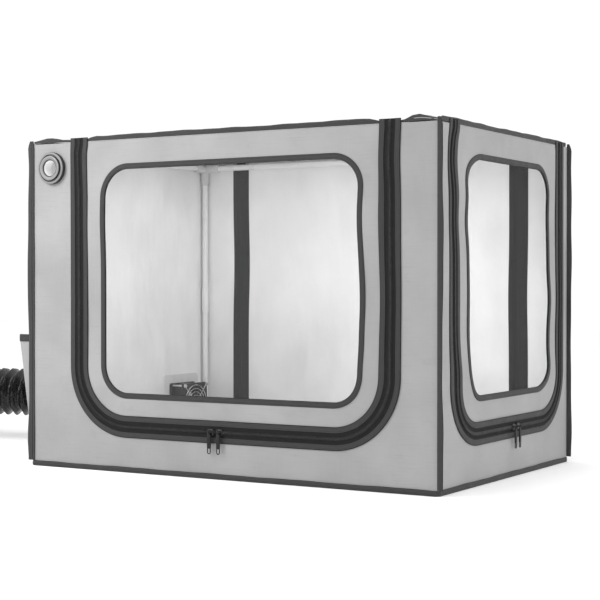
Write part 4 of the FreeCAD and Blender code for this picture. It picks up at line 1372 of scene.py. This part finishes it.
def slider(side, hand):
    """Die-cast slider: a crowned shield, skirts over the coil and an arched bail."""
    wall = WALLS[side]
    node = f"{side}_slider_{hand}"
    (left, bottom, right, top), (_, high) = wall.box(node)
    middle_x, middle_y = (left + right) / 2, (bottom + top) / 2
    levels = [(0.8, 3.3), (0.1, 3.5), (0.0, 4.0), (0.3, 4.6), (1.2, 5.0), (2.4, 5.15)]
    levels = [(inset * MM, out * MM) for inset, out in levels]
    parts = [plate(wall, "part", (left, bottom, right, top), 3.4 * MM, levels, "zip_metal")]
    for way in (-1, 1):
        edge = middle_y + way * (top - bottom) / 2
        skirt = (
            left + 1.4 * MM, min(edge, edge - way * 1.4 * MM),
            right - 1.4 * MM, max(edge, edge - way * 1.4 * MM),
        )
        skirt_levels = [(0.3 * MM, 1.4 * MM), (0, 1.7 * MM), (0, 3.7 * MM)]
        parts.append(plate(wall, "part", skirt, 0.6 * MM, skirt_levels, "zip_metal"))
    angles = np.linspace(0, math.pi, 21)
    reach = BAIL_HALF * np.sign(np.cos(angles)) * np.abs(np.cos(angles)) ** 0.6
    rise = 4.6 * MM + (high - BAIL_WIRE - 4.6 * MM) * np.sin(angles) ** 0.5
    arch = [wall.point(middle_x + along, middle_y, out) for along, out in zip(reach, rise)]
    parts.append(wire("part", arch, UP, BAIL_WIRE, "zip_metal"))
    settle(join(f"{node}_cast", parts), node, "zip_metal", node)


def pull(side, hand):
    """Black enamelled tab on the bail, ribbed for grip, with a black wire loop at its lower end."""
    wall = WALLS[side]
    node = f"{side}_pull_{hand}"
    (left, bottom, right, top), (low, high) = wall.box(node)
    middle = (left + right) / 2
    level = (low + high) / 2
    eye_y = top - PULL_EYE
    tab = (left + 0.5 * MM, bottom + PULL_LOOP, right - 0.5 * MM, eye_y - 4.0 * MM)
    levels = [(0.5 * MM, -1.3), (0, -0.8), (0, 0.8), (0.5 * MM, 1.3)]
    levels = [(inset, level + out * MM) for inset, out in levels]
    parts = [plate(wall, "part", tab, 1.8 * MM, levels, "pull_enamel")]
    for step in range(5):
        rib_y = tab[1] + (3.0 + 2.6 * step) * MM
        rib = (tab[0] + 1.3 * MM, rib_y, tab[2] - 1.3 * MM, rib_y + 1.1 * MM)
        rib_levels = [(0, level + 1.1 * MM), (0.1 * MM, level + 1.6 * MM), (0.35 * MM, level + 1.75 * MM)]
        parts.append(plate(wall, "part", rib, 0.5 * MM, rib_levels, "pull_enamel"))
    neck = (middle - 1.9 * MM, eye_y - 5.0 * MM, middle + 1.9 * MM, eye_y - 1.3 * MM)
    neck_levels = [
        (0.2 * MM, level - 0.9 * MM), (0, level - 0.6 * MM),
        (0, level + 0.6 * MM), (0.2 * MM, level + 0.9 * MM),
    ]
    parts.append(plate(wall, "part", neck, 0.6 * MM, neck_levels, "pull_enamel"))
    angles = np.linspace(0, math.tau, 24, endpoint=False)
    eye = [
        wall.point(middle, eye_y + 1.75 * MM * math.sin(a), level + 1.75 * MM * math.cos(a))
        for a in angles
    ]
    parts.append(wire("part", eye, wall.along, 0.6 * MM, "pull_enamel", ring=True))
    loop = rounded(
        (middle - 3.0 * MM, bottom + 0.9 * MM, middle + 3.0 * MM, bottom + PULL_LOOP + 2.0 * MM),
        2.9 * MM,
    )
    parts.append(wire("part", wall.place(loop, level), wall.out, 0.9 * MM, "pull_enamel", ring=True))
    settle(join(f"{node}_tab", parts), node, "zip_metal", node)


for wall_side in SLIDER_SIDES:
    for hand in ("left", "right"):
        slider(wall_side, hand)
        pull(wall_side, hand)


# ---------------------------------------------------------------- CAD pieces with better materials

NODE_SKINS = {
    "frame_tube": [
        "lower_uprights", "upper_uprights", "upright_sleeves",
        *[
            f"{side}_{level}_rail"
            for side in ("front", "rear", "left", "right") for level in ("bottom", "top")
        ],
    ],
    "connector_plastic": ["top_connectors", "bottom_connectors"],
    "port_plastic": ["port_nut"],
    "fan_plastic": ["fan_frame", "fan_rotor", "duct_spigot", "duct_end_collar"],
    "patch_board": ["fan_mount_plate"],
    "guard_wire": ["fan_guard", "fan_screws"],
    "clamp_steel": ["hose_clamp"],
}
for skin_name, node_names in NODE_SKINS.items():
    for node_name in node_names:
        repaint(node_name, skin_name)


# ---------------------------------------------------------------- light and stage

def area_light(name, place, aim, size, power, tint=(1, 1, 1)):
    light = bpy.data.lights.new(name, "AREA")
    light.shape = "RECTANGLE"
    light.size, light.size_y = size
    light.energy = power
    light.color = tint
    lamp = bpy.data.objects.new(name, light)
    lamp.location = place
    lamp.rotation_euler = (Vector(aim) - Vector(place)).to_track_quat("-Z", "Y").to_euler()
    lamp.visible_camera = False
    bpy.context.scene.collection.objects.link(lamp)
    return lamp


def stage():
    """White floor of a photo studio, soft light from the front left, and lamps inside the tent."""
    world = bpy.data.worlds.new("studio")
    world.use_nodes = True
    world.node_tree.nodes["Background"].inputs["Color"].default_value = (1, 1, 1, 1)
    world.node_tree.nodes["Background"].inputs["Strength"].default_value = 1.02
    bpy.context.scene.world = world
    bpy.context.scene.view_settings.view_transform = "Standard"
    area_light("key", (-0.75, -1.15, 1.0), (-0.42, -0.3, 0.5), (0.5, 0.5), 10.5)
    area_light("fill", (2.4, -0.9, 0.55), (0.45, 0, 0.15), (1.0, 0.8), 11)
    area_light("top", (0.4, -0.4, 3.2), (0, 0, 0.3), (2.4, 2.4), 30)
    area_light("chamber_roof", (0.0, 0.0, 0.585), (0, 0.0, 0), (0.7, 0.42), 0.6)
    area_light("chamber_back", (0.0, -0.2, 0.34), (0, 0.6, 0.66), (0.7, 0.3), 0.55)
    reach = 9.0
    floor_z = -0.4 * MM
    spots = [(-reach, -reach), (reach, -reach), (reach, reach), (-reach, reach)]
    mesh = bpy.data.meshes.new("floor")
    mesh.from_pydata([(x, y, floor_z) for x, y in spots], [], [(0, 1, 2, 3)])
    white = Surface("floor_white", 0.9)
    white.colour(white.blend(white.noise(2.0), grey(0.97), grey(0.985)))
    mesh.materials.append(white.material)
    floor = bpy.data.objects.new("floor", mesh)
    bpy.context.scene.collection.objects.link(floor)


stage()
